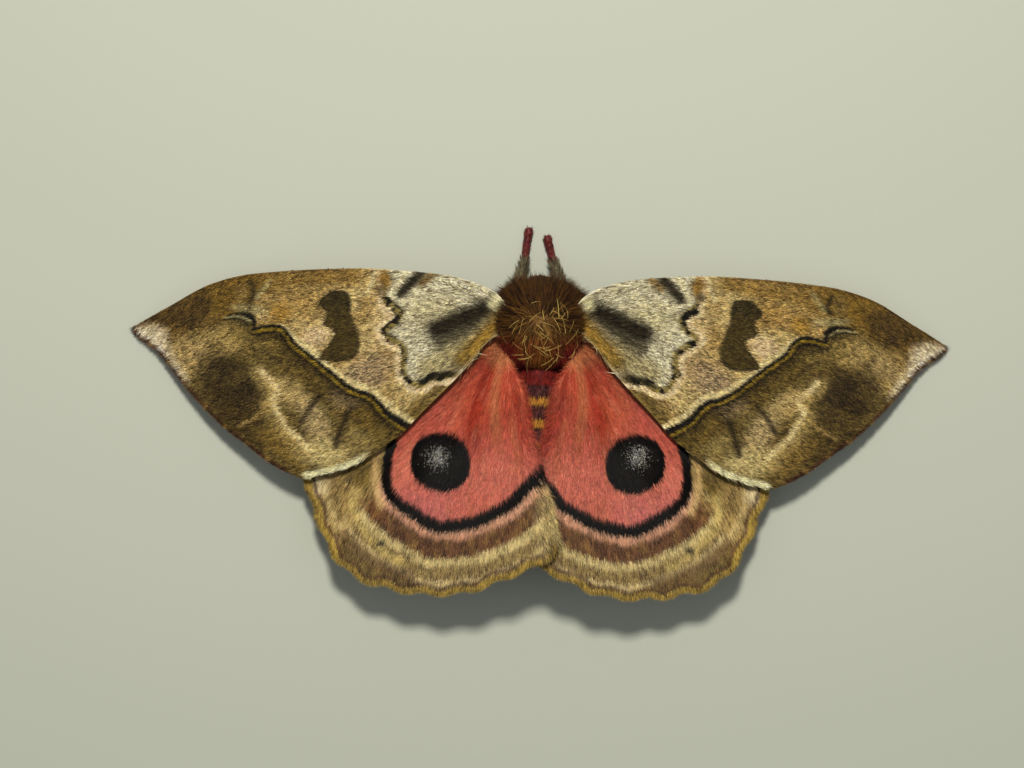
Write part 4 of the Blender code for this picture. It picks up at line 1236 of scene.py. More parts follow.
@dataclass(frozen=True)
class RestingPose:
    """Heights of the resting wings: a roof that falls away to the sides, with the hindwings lapped under."""

    top: float = 9.6
    droop: float = 0.10
    curve: float = 0.0014
    camber: float = 0.4
    lap_drop: float = 1.5
    hind_rise: float = 0.4
    lap_slope: tuple = (1.0, 7.5)
    midline_step: float = 0.8
    midline_reach: tuple = (-3.0, 8.0)
    lap_corner: tuple = (5.5, 0.2)
    lap_line: tuple = (16.2, 17.0)

    def sheet(self, out: Array) -> Array:
        """Height of the sheet that the wings lie on."""
        reach = np.sqrt(out**2 + 1)
        return self.top - self.droop * reach - self.curve * reach**2

    def fore(self, side: Side, out: Array, forward: Array, across: Array) -> Array:
        """Height of the middle of a forewing."""
        return self.sheet(out) + self.camber * (np.sin(math.pi * across) - 0.5) * smooth_step((5, 15), out)

    def hind(self, side: Side, out: Array, forward: Array, across: Array) -> Array:
        """Height of the middle of a hindwing, which dips under the forewing and laps at the midline."""
        square = unit(self.lap_line)
        behind = -((out - self.lap_corner[0]) * square[0] + (forward - self.lap_corner[1]) * square[1])
        bared = smooth_step(self.lap_slope, behind)
        crossing = (1 - smooth_step(self.midline_reach, out)) * smooth_step((3, 8), behind)
        lapped = self.sheet(out) - self.lap_drop + (self.lap_drop + self.hind_rise) * bared
        return lapped - side.value * self.midline_step * crossing


POSE = RestingPose()


@dataclass
class WingSheet:
    """The middle sheet of one wing, read by share along it and share across it."""

    plan: WingPlan
    side: Side
    height: Callable
    lobe: float = 0.25  # swing of the scalloped margin
    vein_height: float = 0.08
    vein_half: float = 0.26
    step: float = 0.004

    def __post_init__(self) -> None:
        """Draws the four edges."""
        self.front = SmoothCurve(self.plan.front)
        self.hind = SmoothCurve(self.plan.hind)
        self.shares = np.linspace(0, 1, 541)
        edge = SmoothCurve(self.plan.outer).at(self.shares)
        if self.plan.scallops:
            ahead = np.gradient(edge, axis=0)
            outwards = unit(np.stack([-ahead[:, 1], ahead[:, 0]], axis=1))
            wave = np.cos(2 * math.pi * self.plan.scallops * self.shares) * smooth_step((0, 0.1), self.shares)
            edge = edge - outwards * (self.lobe * wave)[:, None]
        self.margin = edge

    def flat(self, along: Array, across: Array) -> Array:
        """Distance out and forward of places on the sheet."""
        t, v = along[:, None], across[:, None]
        front, hind = self.front.at(along), self.hind.at(along**self.plan.hind_pace)
        root_front, root_hind = np.array(self.plan.front[0]), np.array(self.plan.hind[0])
        tip, corner = np.array(self.plan.front[-1]), np.array(self.plan.hind[-1])
        outer = np.stack([np.interp(across, self.shares, axis) for axis in self.margin.T], axis=1)
        base = root_front + v * (root_hind - root_front)
        corners = (1 - t) * ((1 - v) * root_front + v * root_hind) + t * ((1 - v) * tip + v * corner)
        return (1 - v) * front + v * hind + (1 - t) * base + t * outer - corners

    def place(self, along: Array, across: Array) -> Array:
        """Points on the sheet in the moth's frame."""
        out, forward = self.flat(along, across).T
        height = self.height(self.side, out, forward, across)
        return np.stack([self.side.value * out, forward, height], axis=1)

    def relief(self, along: Array, across: Array) -> Array:
        """Height of the veins over the sheet."""
        width = np.hypot(*(self.front.at(along) - self.hind.at(along**self.plan.hind_pace)).T)
        rise = np.zeros(len(along))
        for share, start in self.plan.veins:
            ridge = np.exp(-(((across - share) * width / self.vein_half) ** 2))
            rise = np.maximum(rise, ridge * smooth_step((start - 0.06, start + 0.02), along))
        in_cell = smooth_step((self.plan.cell[0] - 0.02, self.plan.cell[0]), across)
        in_cell = in_cell * (1 - smooth_step((self.plan.cell[1], self.plan.cell[1] + 0.02), across))
        ridge = np.exp(-(((along - self.plan.cross_vein) * self.front.length / self.vein_half) ** 2))
        rise = np.maximum(rise, 0.2 * ridge * in_cell)
        return self.vein_height * rise * (1 - 0.5 * smooth_step((0.8, 1), along))

    def directions(self, along: Array, across: Array) -> tuple:
        """The way from root to margin along the sheet, and the way up out of it, at each place."""
        before, after = np.clip(along - self.step, 0, 1), np.clip(along + self.step, 0, 1)
        ahead = unit(self.place(after, across) - self.place(before, across))
        before, after = np.clip(across - self.step, 0, 1), np.clip(across + self.step, 0, 1)
        aside = self.place(along, after) - self.place(along, before)
        normal = unit(np.cross(ahead, aside))
        return ahead, normal * np.sign(normal[:, 2:])

    def scatter(self, count: int, draw: np.random.Generator, cells: tuple = (240, 120),
                reach: tuple = (0.0, 1.0)) -> tuple:
        """Spreads places evenly over the wing.

        Args:
            count: how many.
            draw: source of random numbers.
            cells: rows and columns of the grid that measures the area.
            reach: shares along the wing between which they lie.

        Returns:
            Shares along and across.
        """
        rows, columns = cells
        t = reach[0] + (reach[1] - reach[0]) * (np.arange(rows) + 0.5) / rows
        v = (np.arange(columns) + 0.5) / columns
        along, across = (grid.ravel() for grid in np.meshgrid(t, v, indexing="ij"))
        before, after = np.clip(along - self.step, 0, 1), np.clip(along + self.step, 0, 1)
        ahead = self.flat(after, across) - self.flat(before, across)
        before, after = np.clip(across - self.step, 0, 1), np.clip(across + self.step, 0, 1)
        aside = self.flat(along, after) - self.flat(along, before)
        area = np.abs(ahead[:, 0] * aside[:, 1] - ahead[:, 1] * aside[:, 0])
        filled = np.cumsum(area)
        wanted = (np.arange(count) + draw.random(count)) / count * filled[-1]
        cell = np.minimum(np.searchsorted(filled, wanted), rows * columns - 1)
        spread = (reach[1] - reach[0]) / rows
        along = along[cell] + (draw.random(count) - 0.5) * spread
        across = across[cell] + (draw.random(count) - 0.5) / columns
        return np.clip(along, 0, 1), np.clip(across, 0, 1)

    def bake_places(self, flat: Array) -> Array:
        """Places on the bake map, which lays the wing out flat."""
        low = np.min([self.margin.min(0), self.front.points.min(0), self.hind.points.min(0)], axis=0)
        high = np.max([self.margin.max(0), self.front.points.max(0), self.hind.points.max(0)], axis=0)
        return BAKE_BORDER + (1 - 2 * BAKE_BORDER) * np.clip((flat - low) / (high - low).max(), 0, 1)


@dataclass(frozen=True)
class Coat:
    """Sizes of the scales and hairs on one face of a wing."""

    count: int
    length: tuple
    width: tuple
    lift: tuple
    turn: float  # spread of their lie in degrees
    spread: float  # spread of their brightness


@dataclass
class Wing:
    """One wing: a thin veined skin with a coat of scales on each face and a fringe."""

    name: str
    plan: WingPlan
    side: Side
    height: Callable
    finish: ScaleCoat
    slot: str
    upper: Coat
    under: Coat
    paint_upper: Callable
    under_markings: UnderMarkings
    ground: Tone
    seed: int
    half: float = 0.07  # half the skin's thickness
    root_half: float = 0.3
    root_taper: tuple = (4.5, 9.5)
    grid: tuple = (190, 100)
    reach: float = 0.982  # share of the wing's length where the skin ends and the fringe starts
    fringe_count: int = 3400
    inner_count: int = 0
    fringe_length: tuple = (0.75, 1.25)

    def __post_init__(self) -> None:
        """Lays out the sheet."""
        self.sheet = WingSheet(self.plan, self.side, self.height)
        self.node = f"{self.name}_{self.side.label}"
        self.material = self.finish.make()

    def build(self) -> None:
        """Makes the skin, the coats and the fringe."""
        self.build_skin()
        self.build_coat(Face.UPPER, self.upper)
        self.build_coat(Face.UNDER, self.under)
        self.build_fringe()

    def canvas(self, face: Face, along: Array, across: Array, flat: Optional[Array] = None) -> Canvas:
        """Paints one face of the wing.

        Args:
            face: which face.
            along: shares along the wing.
            across: shares across it.
            flat: distance out and forward, where it isn't the places' own.

        Returns:
            The painted canvas.
        """
        places = self.sheet.flat(along, across) if flat is None else flat
        if face is Face.UPPER:
            painted = Canvas(places, along, across, self.ground, self.seed)
            self.paint_upper(painted, self.sheet)
        else:
            painted = Canvas(places, along, across, Tone("A0825E", "644A34", 0.35), self.seed)
            self.under_markings.paint(painted, self.sheet)
        return painted

    def skin_half(self, flat: Array) -> Array:
        """Half the skin's thickness, more at the wing's root."""
        away = np.hypot(*flat.T)
        return self.half + (self.root_half - self.half) * (1 - smooth_step(self.root_taper, away))

    def build_skin(self) -> None:
        """Makes the veined membrane as a closed thin sheet."""
        rows, columns = self.grid
        t, v = np.linspace(0, self.reach, rows), np.linspace(0, 1, columns)
        along, across = (grid.ravel() for grid in np.meshgrid(t, v, indexing="ij"))
        middle = self.sheet.place(along, across)
        flat = self.sheet.flat(along, across)
        thick = (self.skin_half(flat) + self.sheet.relief(along, across))[:, None] * UP
        under = rows * columns
        low = (np.arange(rows - 1)[:, None] * columns + np.arange(columns - 1)).ravel()
        top = np.stack([low, low + columns, low + columns + 1, low + 1], axis=1)
        rim = [i * columns for i in range(rows)]
        rim += [(rows - 1) * columns + j for j in range(1, columns)]
        rim += [i * columns + columns - 1 for i in range(rows - 2, -1, -1)]
        rim += list(range(columns - 2, 0, -1))
        rim = np.array(rim)
        after = np.roll(rim, -1)
        edge = np.stack([rim, rim + under, after + under, after], axis=1)
        faces = np.vstack([top, top[:, ::-1] + under, edge])
        points = np.vstack([middle + thick, middle - thick])
        if self.volume(points, faces) < 0:
            faces = faces[:, ::-1]
        # painted shade: the skin's colour is darkened between and under its scales
        colours = np.vstack([
            self.canvas(Face.UPPER, along, across).skin_colours(SKIN_PAINTED_SHADE),
            self.canvas(Face.UNDER, along, across).skin_colours(SKIN_PAINTED_SHADE),
        ])
        skin = make_piece(f"{self.node}_skin", points, faces, self.material, colours, smooth=True)
        hand_over(skin, self.slot, self.node)

    @staticmethod
    def volume(points: Array, faces: Array) -> float:
        """Six times the volume that the faces enclose, under 0 where they face in."""
        a, b, c, d = (points[faces[:, k]] for k in range(4))
        return float((np.cross(a, b) * c).sum() + (np.cross(a, c) * d).sum())

    def build_coat(self, face: Face, coat: Coat) -> None:
        """Covers one face with scales and hairs that lie from the root to the margin."""
        draw = np.random.default_rng(self.seed + 100 * (face is Face.UNDER))
        along, across = self.sheet.scatter(coat.count, draw, reach=(0.0, self.reach))
        flat = self.sheet.flat(along, across)
        middle = self.sheet.place(along, across)
        ahead, outward = self.sheet.directions(along, across)
        rise = self.skin_half(flat) + self.sheet.relief(along, across)
        roots = middle + face.value * rise[:, None] * UP
        outward = outward * face.value
        lie = turned(ahead, outward, np.radians(draw.normal(0, coat.turn, coat.count)))
        lie = self.tuck_in(lie, along, across)
        near_root = 1 - smooth_step((9, 16), np.hypot(*flat.T))
        length = draw.uniform(*coat.length, coat.count) * (1 + 0.5 * near_root)
        length = np.minimum(length, 0.9 + 0.06 * self.sheet.front.length * (1 - along))
        shift = lie[:, :2] * (length * 0.5)[:, None] * (self.side.value, 1)
        painted = self.canvas(face, along, across, flat + shift)
        colours = painted.hair_colours(draw, coat.spread)
        batch = slivers(
            roots, lie, outward, length, draw.uniform(*coat.width, coat.count), 0.06,
            draw.uniform(*coat.lift, coat.count), colours, self.sheet.bake_places(flat),
        )
        label = "coat" if face is Face.UPPER else "under_coat"
        batch.place(f"{self.node}_{label}", self.material, self.slot, self.node)

    def tuck_in(self, lie: Array, along: Array, across: Array, border: float = 0.07) -> Array:
        """Turns the hairs by the front and hind edges so that they don't stand out over them."""
        before = self.sheet.place(along, np.clip(across - 0.01, 0, 1))
        inward = unit(self.sheet.place(along, np.clip(across + 0.01, 0, 1)) - before)
        inward = inward * np.where(across < 0.5, 1, -1)[:, None]
        outwards = np.minimum((lie * inward).sum(1), 0.0)
        near = 1 - smooth_step((0.5 * border, border), np.minimum(across, 1 - across))
        return unit(lie + (0.05 - outwards)[:, None] * inward * near[:, None])

    def build_fringe(self) -> None:
        """Edges the outer margin with longer hairs, and the front edge with short ones."""
        draw = np.random.default_rng(self.seed + 200)
        count = self.fringe_count
        across = (np.arange(count) + draw.random(count)) / count
        along = draw.uniform(self.reach - 0.012, self.reach, count)
        ahead, outward = self.sheet.directions(along, across)
        before = self.sheet.place(along, np.clip(across - 0.01, 0, 1))
        after = self.sheet.place(along, np.clip(across + 0.01, 0, 1))
        square = unit(np.cross(after - before, outward))
        square = square * np.sign((square * ahead).sum(1))[:, None]
        lie = unit(0.45 * ahead + 0.55 * square)
        lie = turned(lie, outward, np.radians(draw.normal(0, 9, count)))
        roots = self.sheet.place(along, across) + UP * draw.uniform(-0.06, 0.06, count)[:, None]
        flat = self.sheet.flat(along, across)
        end = self.sheet.flat(np.ones(count), across)
        room = np.hypot(*(end - flat).T)
        length = np.maximum(room, 0.35) * draw.uniform(*self.fringe_length, count)
        colours = self.canvas(Face.UPPER, np.ones(count) * 0.998, across).hair_colours(draw, 0.16)
        batch = slivers(
            roots, lie, outward, length, draw.uniform(0.09, 0.14, count), 0.05,
            draw.uniform(-0.05, 0.08, count),
            colours, self.sheet.bake_places(flat),
        )
        if self.inner_count:
            batch = Batch.join([batch, self.inner_hairs(draw)])
        batch.place(f"{self.node}_fringe", self.material, self.slot, self.node)

    def inner_hairs(self, draw: np.random.Generator) -> Batch:
        """Grows long silky hairs on the inner edge, which lean over the abdomen."""
        count = self.inner_count
        along, across = draw.uniform(0.04, 0.97, count), draw.uniform(0.93, 1.0, count)
        flat = self.sheet.flat(along, across)
        roots = self.sheet.place(along, across) + UP * self.half
        inwards = np.interp(along, (0.04, 0.5, 0.8, 1.0), (1.0, 0.7, 0.35, 0.2))
        lie = np.stack([-self.side.value * inwards, -np.full(count, 0.75), np.full(count, 0.06)], axis=1)
        lie = turned(unit(lie), np.tile(UP, (count, 1)), np.radians(draw.normal(0, 14, count)))
        length = np.interp(along, (0.04, 0.2, 0.5, 0.7, 1.0), (1.0, 1.7, 1.4, 1.3, 1.8))
        length = length * draw.uniform(0.6, 1.15, count)
        colours = self.canvas(Face.UPPER, along, across).hair_colours(draw, 0.2)
        return slivers(
            roots, unit(lie), np.tile(UP, (count, 1)), length, draw.uniform(0.06, 0.1, count), 0.05,
            draw.uniform(0.0, 0.25, count), colours, self.sheet.bake_places(flat),
        )


# Spikes by Geometry Nodes


@dataclass
class Spikes:
    """Fine spikes on given roots: the teeth of the antennae, and the spines and claws of the feet."""

    name: str
    thickness: float
    sides: int = 5
    tip: float = 0.15  # the tip's share of the root's thickness

    def tree(self, finish: bpy.types.Material) -> bpy.types.NodeTree:
        """Builds the node tree, which sets a cone on each point of its guide."""
        tree = bpy.data.node_groups.new(self.name, "GeometryNodeTree")
        face = tree.interface
        face.new_socket("Geometry", in_out="INPUT", socket_type="NodeSocketGeometry")
        face.new_socket("Thickness", in_out="INPUT", socket_type="NodeSocketFloat")
        face.new_socket("Tip", in_out="INPUT", socket_type="NodeSocketFloat")
        face.new_socket("Sides", in_out="INPUT", socket_type="NodeSocketInt")
        face.new_socket("Geometry", in_out="OUTPUT", socket_type="NodeSocketGeometry")
        source = add_node(tree, "NodeGroupInput")
        cone = add_node(tree, "GeometryNodeMeshCone", {
            "Vertices": source.outputs["Sides"],
            "Radius Top": source.outputs["Tip"],
            "Radius Bottom": source.outputs["Thickness"],
            "Depth": 1.0,
        })
        aim = add_node(tree, "GeometryNodeInputNamedAttribute", {"Name": "aim"}, data_type="FLOAT_VECTOR")
        reach = add_node(tree, "GeometryNodeInputNamedAttribute", {"Name": "reach"}, data_type="FLOAT")
        turn = add_node(tree, "FunctionNodeAlignRotationToVector", {"Vector": aim.outputs["Attribute"]},
                        axis="Z")
        size = add_node(tree, "ShaderNodeCombineXYZ", {"X": 1.0, "Y": 1.0, "Z": reach.outputs["Attribute"]})
        copies = add_node(tree, "GeometryNodeInstanceOnPoints", {
            "Points": source.outputs["Geometry"],
            "Instance": cone.outputs["Mesh"],
            "Rotation": turn.outputs["Rotation"],
            "Scale": size.outputs["Vector"],
        })
        real = add_node(tree, "GeometryNodeRealizeInstances", {"Geometry": copies.outputs["Instances"]})
        dressed = add_node(tree, "GeometryNodeSetMaterial", {
            "Geometry": real.outputs["Geometry"],
            "Material": finish,
        })
        add_node(tree, "NodeGroupOutput", {"Geometry": dressed.outputs["Geometry"]})
        return tree

    def make(self, name: str, roots: Array, aims: Array, reach: Array,
             finish: bpy.types.Material) -> bpy.types.Object:
        """Makes the spikes.

        Args:
            name: the piece's name.
            roots: where they stand.
            aims: the way each points.
            reach: their lengths.
            finish: their material.

        Returns:
            The spikes as one plain mesh.
        """
        mesh = bpy.data.meshes.new(name)
        mesh.from_pydata([tuple(map(float, point)) for point in to_world(roots)], [], [])
        made = bpy.data.objects.new(name, mesh)
        bpy.context.scene.collection.objects.link(made)
        mesh.attributes.new("aim", "FLOAT_VECTOR", "POINT").data.foreach_set("vector", np.ravel(aims))
        mesh.attributes.new("reach", "FLOAT", "POINT").data.foreach_set("value", np.ravel(reach) * MM)
        modifier = made.modifiers.new(self.name, "NODES")
        modifier.node_group = self.tree(finish)
        wanted = {
            "Thickness": self.thickness * MM,
            "Tip": self.thickness * self.tip * MM,
            "Sides": self.sides,
        }
        for item in modifier.node_group.interface.items_tree:
            if item.name in wanted:
                modifier[item.identifier] = wanted[item.name]
        graph = bpy.context.evaluated_depsgraph_get()
        result = bpy.data.meshes.new_from_object(made.evaluated_get(graph))
        made.modifiers.remove(modifier)
        made.data = result
        result.name = name
        return made


# Body


@dataclass
class Stations:
    """A smooth body through stations of forward, half width, height above and below, and axis."""

    rows: Points
    depth: float = 0.25  # how far the skin lies inside the coat's own core

    def __post_init__(self) -> None:
        """Draws the outlines."""
        self.curve = SmoothCurve(self.rows)

    def place(self, share: Array, angle: Array) -> Array:
        """Points on the skin by share of the body's length and by angle from its right side over its back."""
        forward, half, above, below, axis = self.curve.at(share).T
        height = np.where(np.sin(angle) > 0, above, below) - self.depth
        return np.stack([
            np.maximum(half - self.depth, 0.2) * np.cos(angle),
            forward,
            axis + np.maximum(height, 0.2) * np.sin(angle),
        ], axis=1)

    def directions(self, share: Array, angle: Array) -> tuple:
        """Unit vectors backward along the skin and straight out of it."""
        back = unit(self.place(np.clip(share + 0.004, 0, 1), angle)
                    - self.place(np.clip(share - 0.004, 0, 1), angle))
        around = self.place(share, angle + 0.03) - self.place(share, angle - 0.03)
        return back, unit(np.cross(around, back))

    def share_at(self, forward: Array) -> Array:
        """The share of the length at which the body is this far forward."""
        return np.interp(-np.asarray(forward, float), -self.curve.points[:, 0],
                         self.curve.along) / self.curve.length

    def skin(self, rings: int, sides: int) -> tuple:
        """Points and faces of the closed skin, with the shares and angles of its points."""
        share, angle = np.meshgrid(np.linspace(0, 1, rings), np.arange(sides) / sides * 2 * math.pi,
                                   indexing="ij")
        share, angle = share.ravel(), angle.ravel()
        points = self.place(share, angle)
        ends = [points[:sides].mean(0), points[-sides:].mean(0)]
        return (
            np.vstack([points, ends]),
            np.array(tube_faces(rings, sides)),
            np.append(share, (0, 1)),
            np.append(angle, (0, 0)),
        )

    def scatter(self, count: int, limits: tuple, draw: np.random.Generator) -> tuple:
        """Spreads places evenly over the skin between two forward distances.

        Args:
            count: how many.
            limits: the front and the rear limit.
            draw: source of random numbers.

        Returns:
            Shares and angles.
        """
        start, end = self.share_at(limits[0]), self.share_at(limits[1])
        tries = count * 4
        share, angle = draw.uniform(start, end, tries), draw.uniform(0, 2 * math.pi, tries)
        around = self.place(share, angle + 0.05) - self.place(share, angle - 0.05)
        size = np.linalg.norm(around, axis=1)
        keep = draw.random(tries) < size / size.max()
        return share[keep][:count], angle[keep][:count]


@dataclass
class Body:
    """Head, thorax and abdomen: one skin under a long coat, with the tufts, palps and eyes."""

    head: Points = (
        (7.85, 0.6, 0.45, 0.7, 5.0), (7.6, 1.3, 1.0, 1.5, 5.2), (7.1, 1.9, 1.6, 2.1, 5.4),
        (6.2, 2.1, 2.0, 2.2, 5.5),
        (5.4, 1.7, 1.7, 1.8, 5.7), (5.05, 1.3, 1.4, 1.4, 5.9),
    )
    thorax: Points = (
        (4.75, 1.6, 1.7, 1.5, 6.7), (4.3, 2.8, 2.8, 2.4, 6.8), (3.0, 4.1, 4.0, 3.4, 6.9),
        (1.0, 4.8, 4.5, 3.9, 6.9),
        (-1.2, 4.4, 4.0, 3.6, 6.6), (-2.8, 3.5, 3.0, 3.0, 6.0), (-3.3, 2.7, 2.2, 2.3, 5.8),
    )
    abdomen: Points = (
        (-3.6, 2.7, 2.2, 2.3, 5.7), (-5.4, 3.3, 2.8, 3.1, 5.4), (-8.4, 3.5, 3.1, 3.3, 5.2),
        (-11.6, 3.3, 3.0, 3.1, 5.0), (-14.8, 2.8, 2.6, 2.6, 4.7), (-17.6, 1.9, 1.8, 1.8, 4.3),
        (-19.4, 0.9, 0.9, 0.9, 4.0),
    )
    palp: Points = ((0.55, 6.6, 4.1), (0.75, 7.1, 3.9), (0.7, 7.4, 4.2))
    eye_radius: float = 0.95
    eye_place: tuple = (1.72, 6.45, 5.2)
    thorax_hairs: int = 9800
    collar_hairs: int = 6400
    shoulder_hairs: int = 3400
    abdomen_hairs: int = 8000
    head_hairs: int = 2600
    strays: int = 74
    hair_radius: float = 0.045
    seed: int = 300

    def __post_init__(self) -> None:
        """Joins the three parts to one skin."""
        self.shape = Stations([*self.head, *self.thorax, *self.abdomen])
        self.fur = ScaleCoat("body fur", roughness=0.6, sheen=0.03, specular=0.12, grain=0.5,
                             depth=0.18).make()

    def build(self) -> None:
        """Makes the skin, coats, palps and eyes."""
        self.build_skin()
        self.build_thorax_coat()
        self.build_abdomen_coat()
        self.build_head_coat()
        self.build_strays()
        self.build_eyes()

    def tones(self, share: Array, angle: Array, draw: np.random.Generator) -> Array:
        """The coat's colour, hair by hair.

        Args:
            share: share of the body's length.
            angle: angle round it.
            draw: source of random numbers.

        Returns:
            Linear colours.
        """
        forward = self.shape.curve.at(share)[:, 0]
        place = self.shape.place(share, angle)
        canvas = Canvas(place[:, :2], share, angle / 6.3, Tone("5F3D16", "26160A", 0.45), self.seed)
        middle = 1 - smooth_step((0.25, 0.6), np.abs(np.cos(angle)))
        canvas.lay(Tone("8A6430", "3E2914", 0.34), middle * (1 - smooth_step((3.2, 4.8), forward)))
        canvas.lay(Tone("8E4E22", "4A2210", 0.32), 1 - smooth_step((-1.0, 1.2), forward))
        on_top = 1 - smooth_step((0.2, 0.55), np.abs(np.cos(angle)))
        tuft = on_top * (1 - smooth_step((-2.4, -1.0), forward))
        canvas.lay(Tone("A06426", "5C3414", 0.3), tuft)
        flank = smooth_step((0.44, 0.62), np.abs(np.cos(angle)))
        canvas.lay(Tone("962A22", "521412", 0.35), flank * (1 - smooth_step((-1.0, 0.8), forward)))
        under = 1 - smooth_step((-0.45, -0.1), np.sin(angle))
        canvas.lay(Tone("84603E", "4E3826", 0.4), under * (forward > -3.4))
        self.lay_abdomen(canvas, forward, angle)
        return canvas.hair_colours(draw, 0.24)

    def lay_abdomen(self, canvas: Canvas, forward: Array, angle: Array) -> None:
        """Paints the abdomen: yellow bars across dark rings, red sides and a pale brown belly."""
        behind = 1 - smooth_step((-3.8, -3.2), forward)
        canvas.lay(Tone("6A3A38", "32191B", 0.45), behind)
        ring = np.mod(-(forward + 7.7) / 2.8 + 0.5, 1) - 0.5
        bar = 1 - smooth_step((0.13, 0.19), np.abs(ring))
        over = smooth_step((0.88, 0.94), np.sin(angle))
        canvas.lay(Tone("E0A440", "9A6828", 0.2), behind * bar * over * (forward < -6.6))
        side = 1 - smooth_step((0.55, 0.85), np.abs(np.sin(angle) - 0.15))
        canvas.lay(Tone("A63E30", "6E2420", 0.3), behind * side * 0.9)
        belly = 1 - smooth_step((-0.75, -0.45), np.sin(angle))
        canvas.lay(Tone("A5805C", "6A4C36", 0.35), behind * belly)
        near_tuft = (forward > -5.6) * (forward < -3.2) * smooth_step((0, 0.4), np.sin(angle))
        canvas.lay(Tone("8C2620", "501412", 0.32), near_tuft)

    def build_skin(self) -> None:
        """Makes the skin from the face to the end of the abdomen."""
        points, faces, share, angle = self.shape.skin(150, 64)
        # painted shade: the skin under the fur is darkened to 0.55 of the fur's colour
        colours = self.tones(share, angle, np.random.default_rng(self.seed)) * 0.55
        skin = make_piece("body_skin", points, faces, self.fur, colours, rolled_out(share, angle),
                          smooth=True)
        hand_over(skin, "body_fur", "thorax", "head", "abdomen")

    def grow(self, share: Array, angle: Array, lie: Array, length: Array, rise: tuple, droop: float,
             draw: np.random.Generator, radius: float, tone_limits: tuple, curl: float = 0.12,
             cling: float = 0.9) -> Batch:
        """Grows bent hairs from the skin.

        Args:
            share: share of the body's length of each root.
            angle: angle of each root.
            lie: the way that they point, before it is laid along the skin.
            length: their lengths.
            rise: limits of how far they stand off, as shares of their length.
            droop: how far the tips sink, as a share of the length.
            draw: source of random numbers.
            radius: their radius.
            tone_limits: the forward distances between which their tones are read.
            curl: how far they bend sideways, as a share of the length.
            cling: how closely they follow the skin, from 0 to 1, as one value or one per hair.

        Returns:
            The hairs.
        """
        count = len(share)
        roots = self.shape.place(share, angle)
        _, outward = self.shape.directions(share, angle)
        lie = unit(lie - outward * (cling * (lie * outward).sum(1))[:, None])
        aside = np.cross(lie, outward)
        length = length[:, None]
        stand = draw.uniform(*rise, count)[:, None]
        bend = draw.normal(0, curl, count)[:, None]
        middle = roots + length * (0.5 * lie + 0.75 * stand * outward + 0.6 * bend * aside)
        tip = roots + length * (0.98 * lie + stand * outward - droop * UP + bend * aside)
        tip[:, 2] = np.maximum(tip[:, 2], 0.3)
        paths = np.stack([roots - 0.1 * outward, middle, tip], axis=1)
        seen = np.clip(middle[:, 1], *tone_limits)
        colours = self.tones(self.shape.share_at(seen), angle, draw)
        return strands(paths, radius * draw.uniform(0.7, 1.3, count), colours, rolled_out(share, angle))

    def build_thorax_coat(self) -> None:
        """Grows the long fur of the thorax, in front over the head and behind over the abdomen."""
        draw = np.random.default_rng(self.seed + 1)
        coat = self.shape.scatter(self.thorax_hairs, (4.7, -3.2), draw)
        collar = self.shape.scatter(self.collar_hairs, (4.74, 2.6), draw)
        shoulder = self.shape.scatter(self.shoulder_hairs, (4.5, 0.4), draw)
        kind = np.repeat((0, 1, 2), (len(coat[0]), len(collar[0]), len(shoulder[0])))
        on_side = draw.uniform(15, 62, len(shoulder[0]))
        on_side = np.where(draw.random(len(on_side)) < 0.5, on_side, 180 - on_side)
        share = np.concatenate([coat[0], collar[0], shoulder[0]])
        angle = np.concatenate([coat[1], np.radians(draw.uniform(-5, 185, len(collar[0]))),
                                np.radians(on_side)])
        forward = self.shape.curve.at(share)[:, 0]
        count = len(share)
        level = np.abs(np.cos(angle))
        ahead = -1 + 2 * smooth_step((1.9, 3.4), forward + draw.normal(0, 0.35, count))
        fan = np.where(kind == 1, 1.0, 0.3 + 1.1 * smooth_step((-1.8, 1.2), forward))
        sideways = fan * np.cos(angle) + draw.normal(0, 0.2, count)
        under = (np.sin(angle) < -0.1) & (kind == 0)
        ahead = np.where(under, -1, ahead)
        ahead = np.where(kind == 2, 0.12 * (forward - 1.5), ahead)
        sideways = np.where(kind == 2, np.sign(np.cos(angle)), sideways)
        sink = np.select([kind == 1, kind == 2], [-0.22, -0.28], -0.1 * (ahead > 0))
        lie = np.stack([sideways, ahead + draw.normal(0, 0.15, count), sink], axis=1)
        length = np.interp(forward, (-3.2, -1.5, 1.0, 3.4, 4.7), (0.8, 1.7, 2.6, 3.0, 3.3))
        length = length * np.where(kind == 1, np.interp(level, (0, 0.5, 0.87, 1), (0.96, 1.16, 1.04, 0.8)),
                                   1.0)
        length = np.where(kind == 2, np.interp(forward, (0.4, 2.5, 4.5), (2.2, 3.1, 3.8)), length)
        shortest = np.interp(forward, (-3.2, -1.0), (0.5, 0.75))
        length = length * (shortest + (1.1 - shortest) * draw.random(count)) * np.where(under, 0.7, 1.0)
        batch = self.grow(share, angle, lie, length, (0.1, 0.3), 0.05, draw, self.hair_radius, (-3.1, 7.8),
                          cling=np.choose(kind, (0.9, 0.25, 0.1)))
        batch.place("thorax_coat", self.fur, "body_fur", "thorax")

    def build_abdomen_coat(self) -> None:
        """Grows the shorter fur of the abdomen, which lies back, with a tuft at the end."""
        draw = np.random.default_rng(self.seed + 2)
        share, angle = self.shape.scatter(self.abdomen_hairs, (-3.2, -19.3), draw)
        forward = self.shape.curve.at(share)[:, 0]
        count = len(share)
        lie = np.stack([0.12 * np.cos(angle) + draw.normal(0, 0.12, count), -np.ones(count), np.zeros(count)],
                       axis=1)
        length = np.interp(forward, (-19.3, -17.5, -15, -4), (2.4, 2.0, 1.4, 1.2))
        length = length * draw.uniform(0.75, 1.15, count)
        batch = self.grow(share, angle, lie, length, (0.08, 0.22), 0.05, draw, 0.055, (-19.3, -3.9))
        batch.place("abdomen_coat", self.fur, "abdomen_fur", "abdomen")

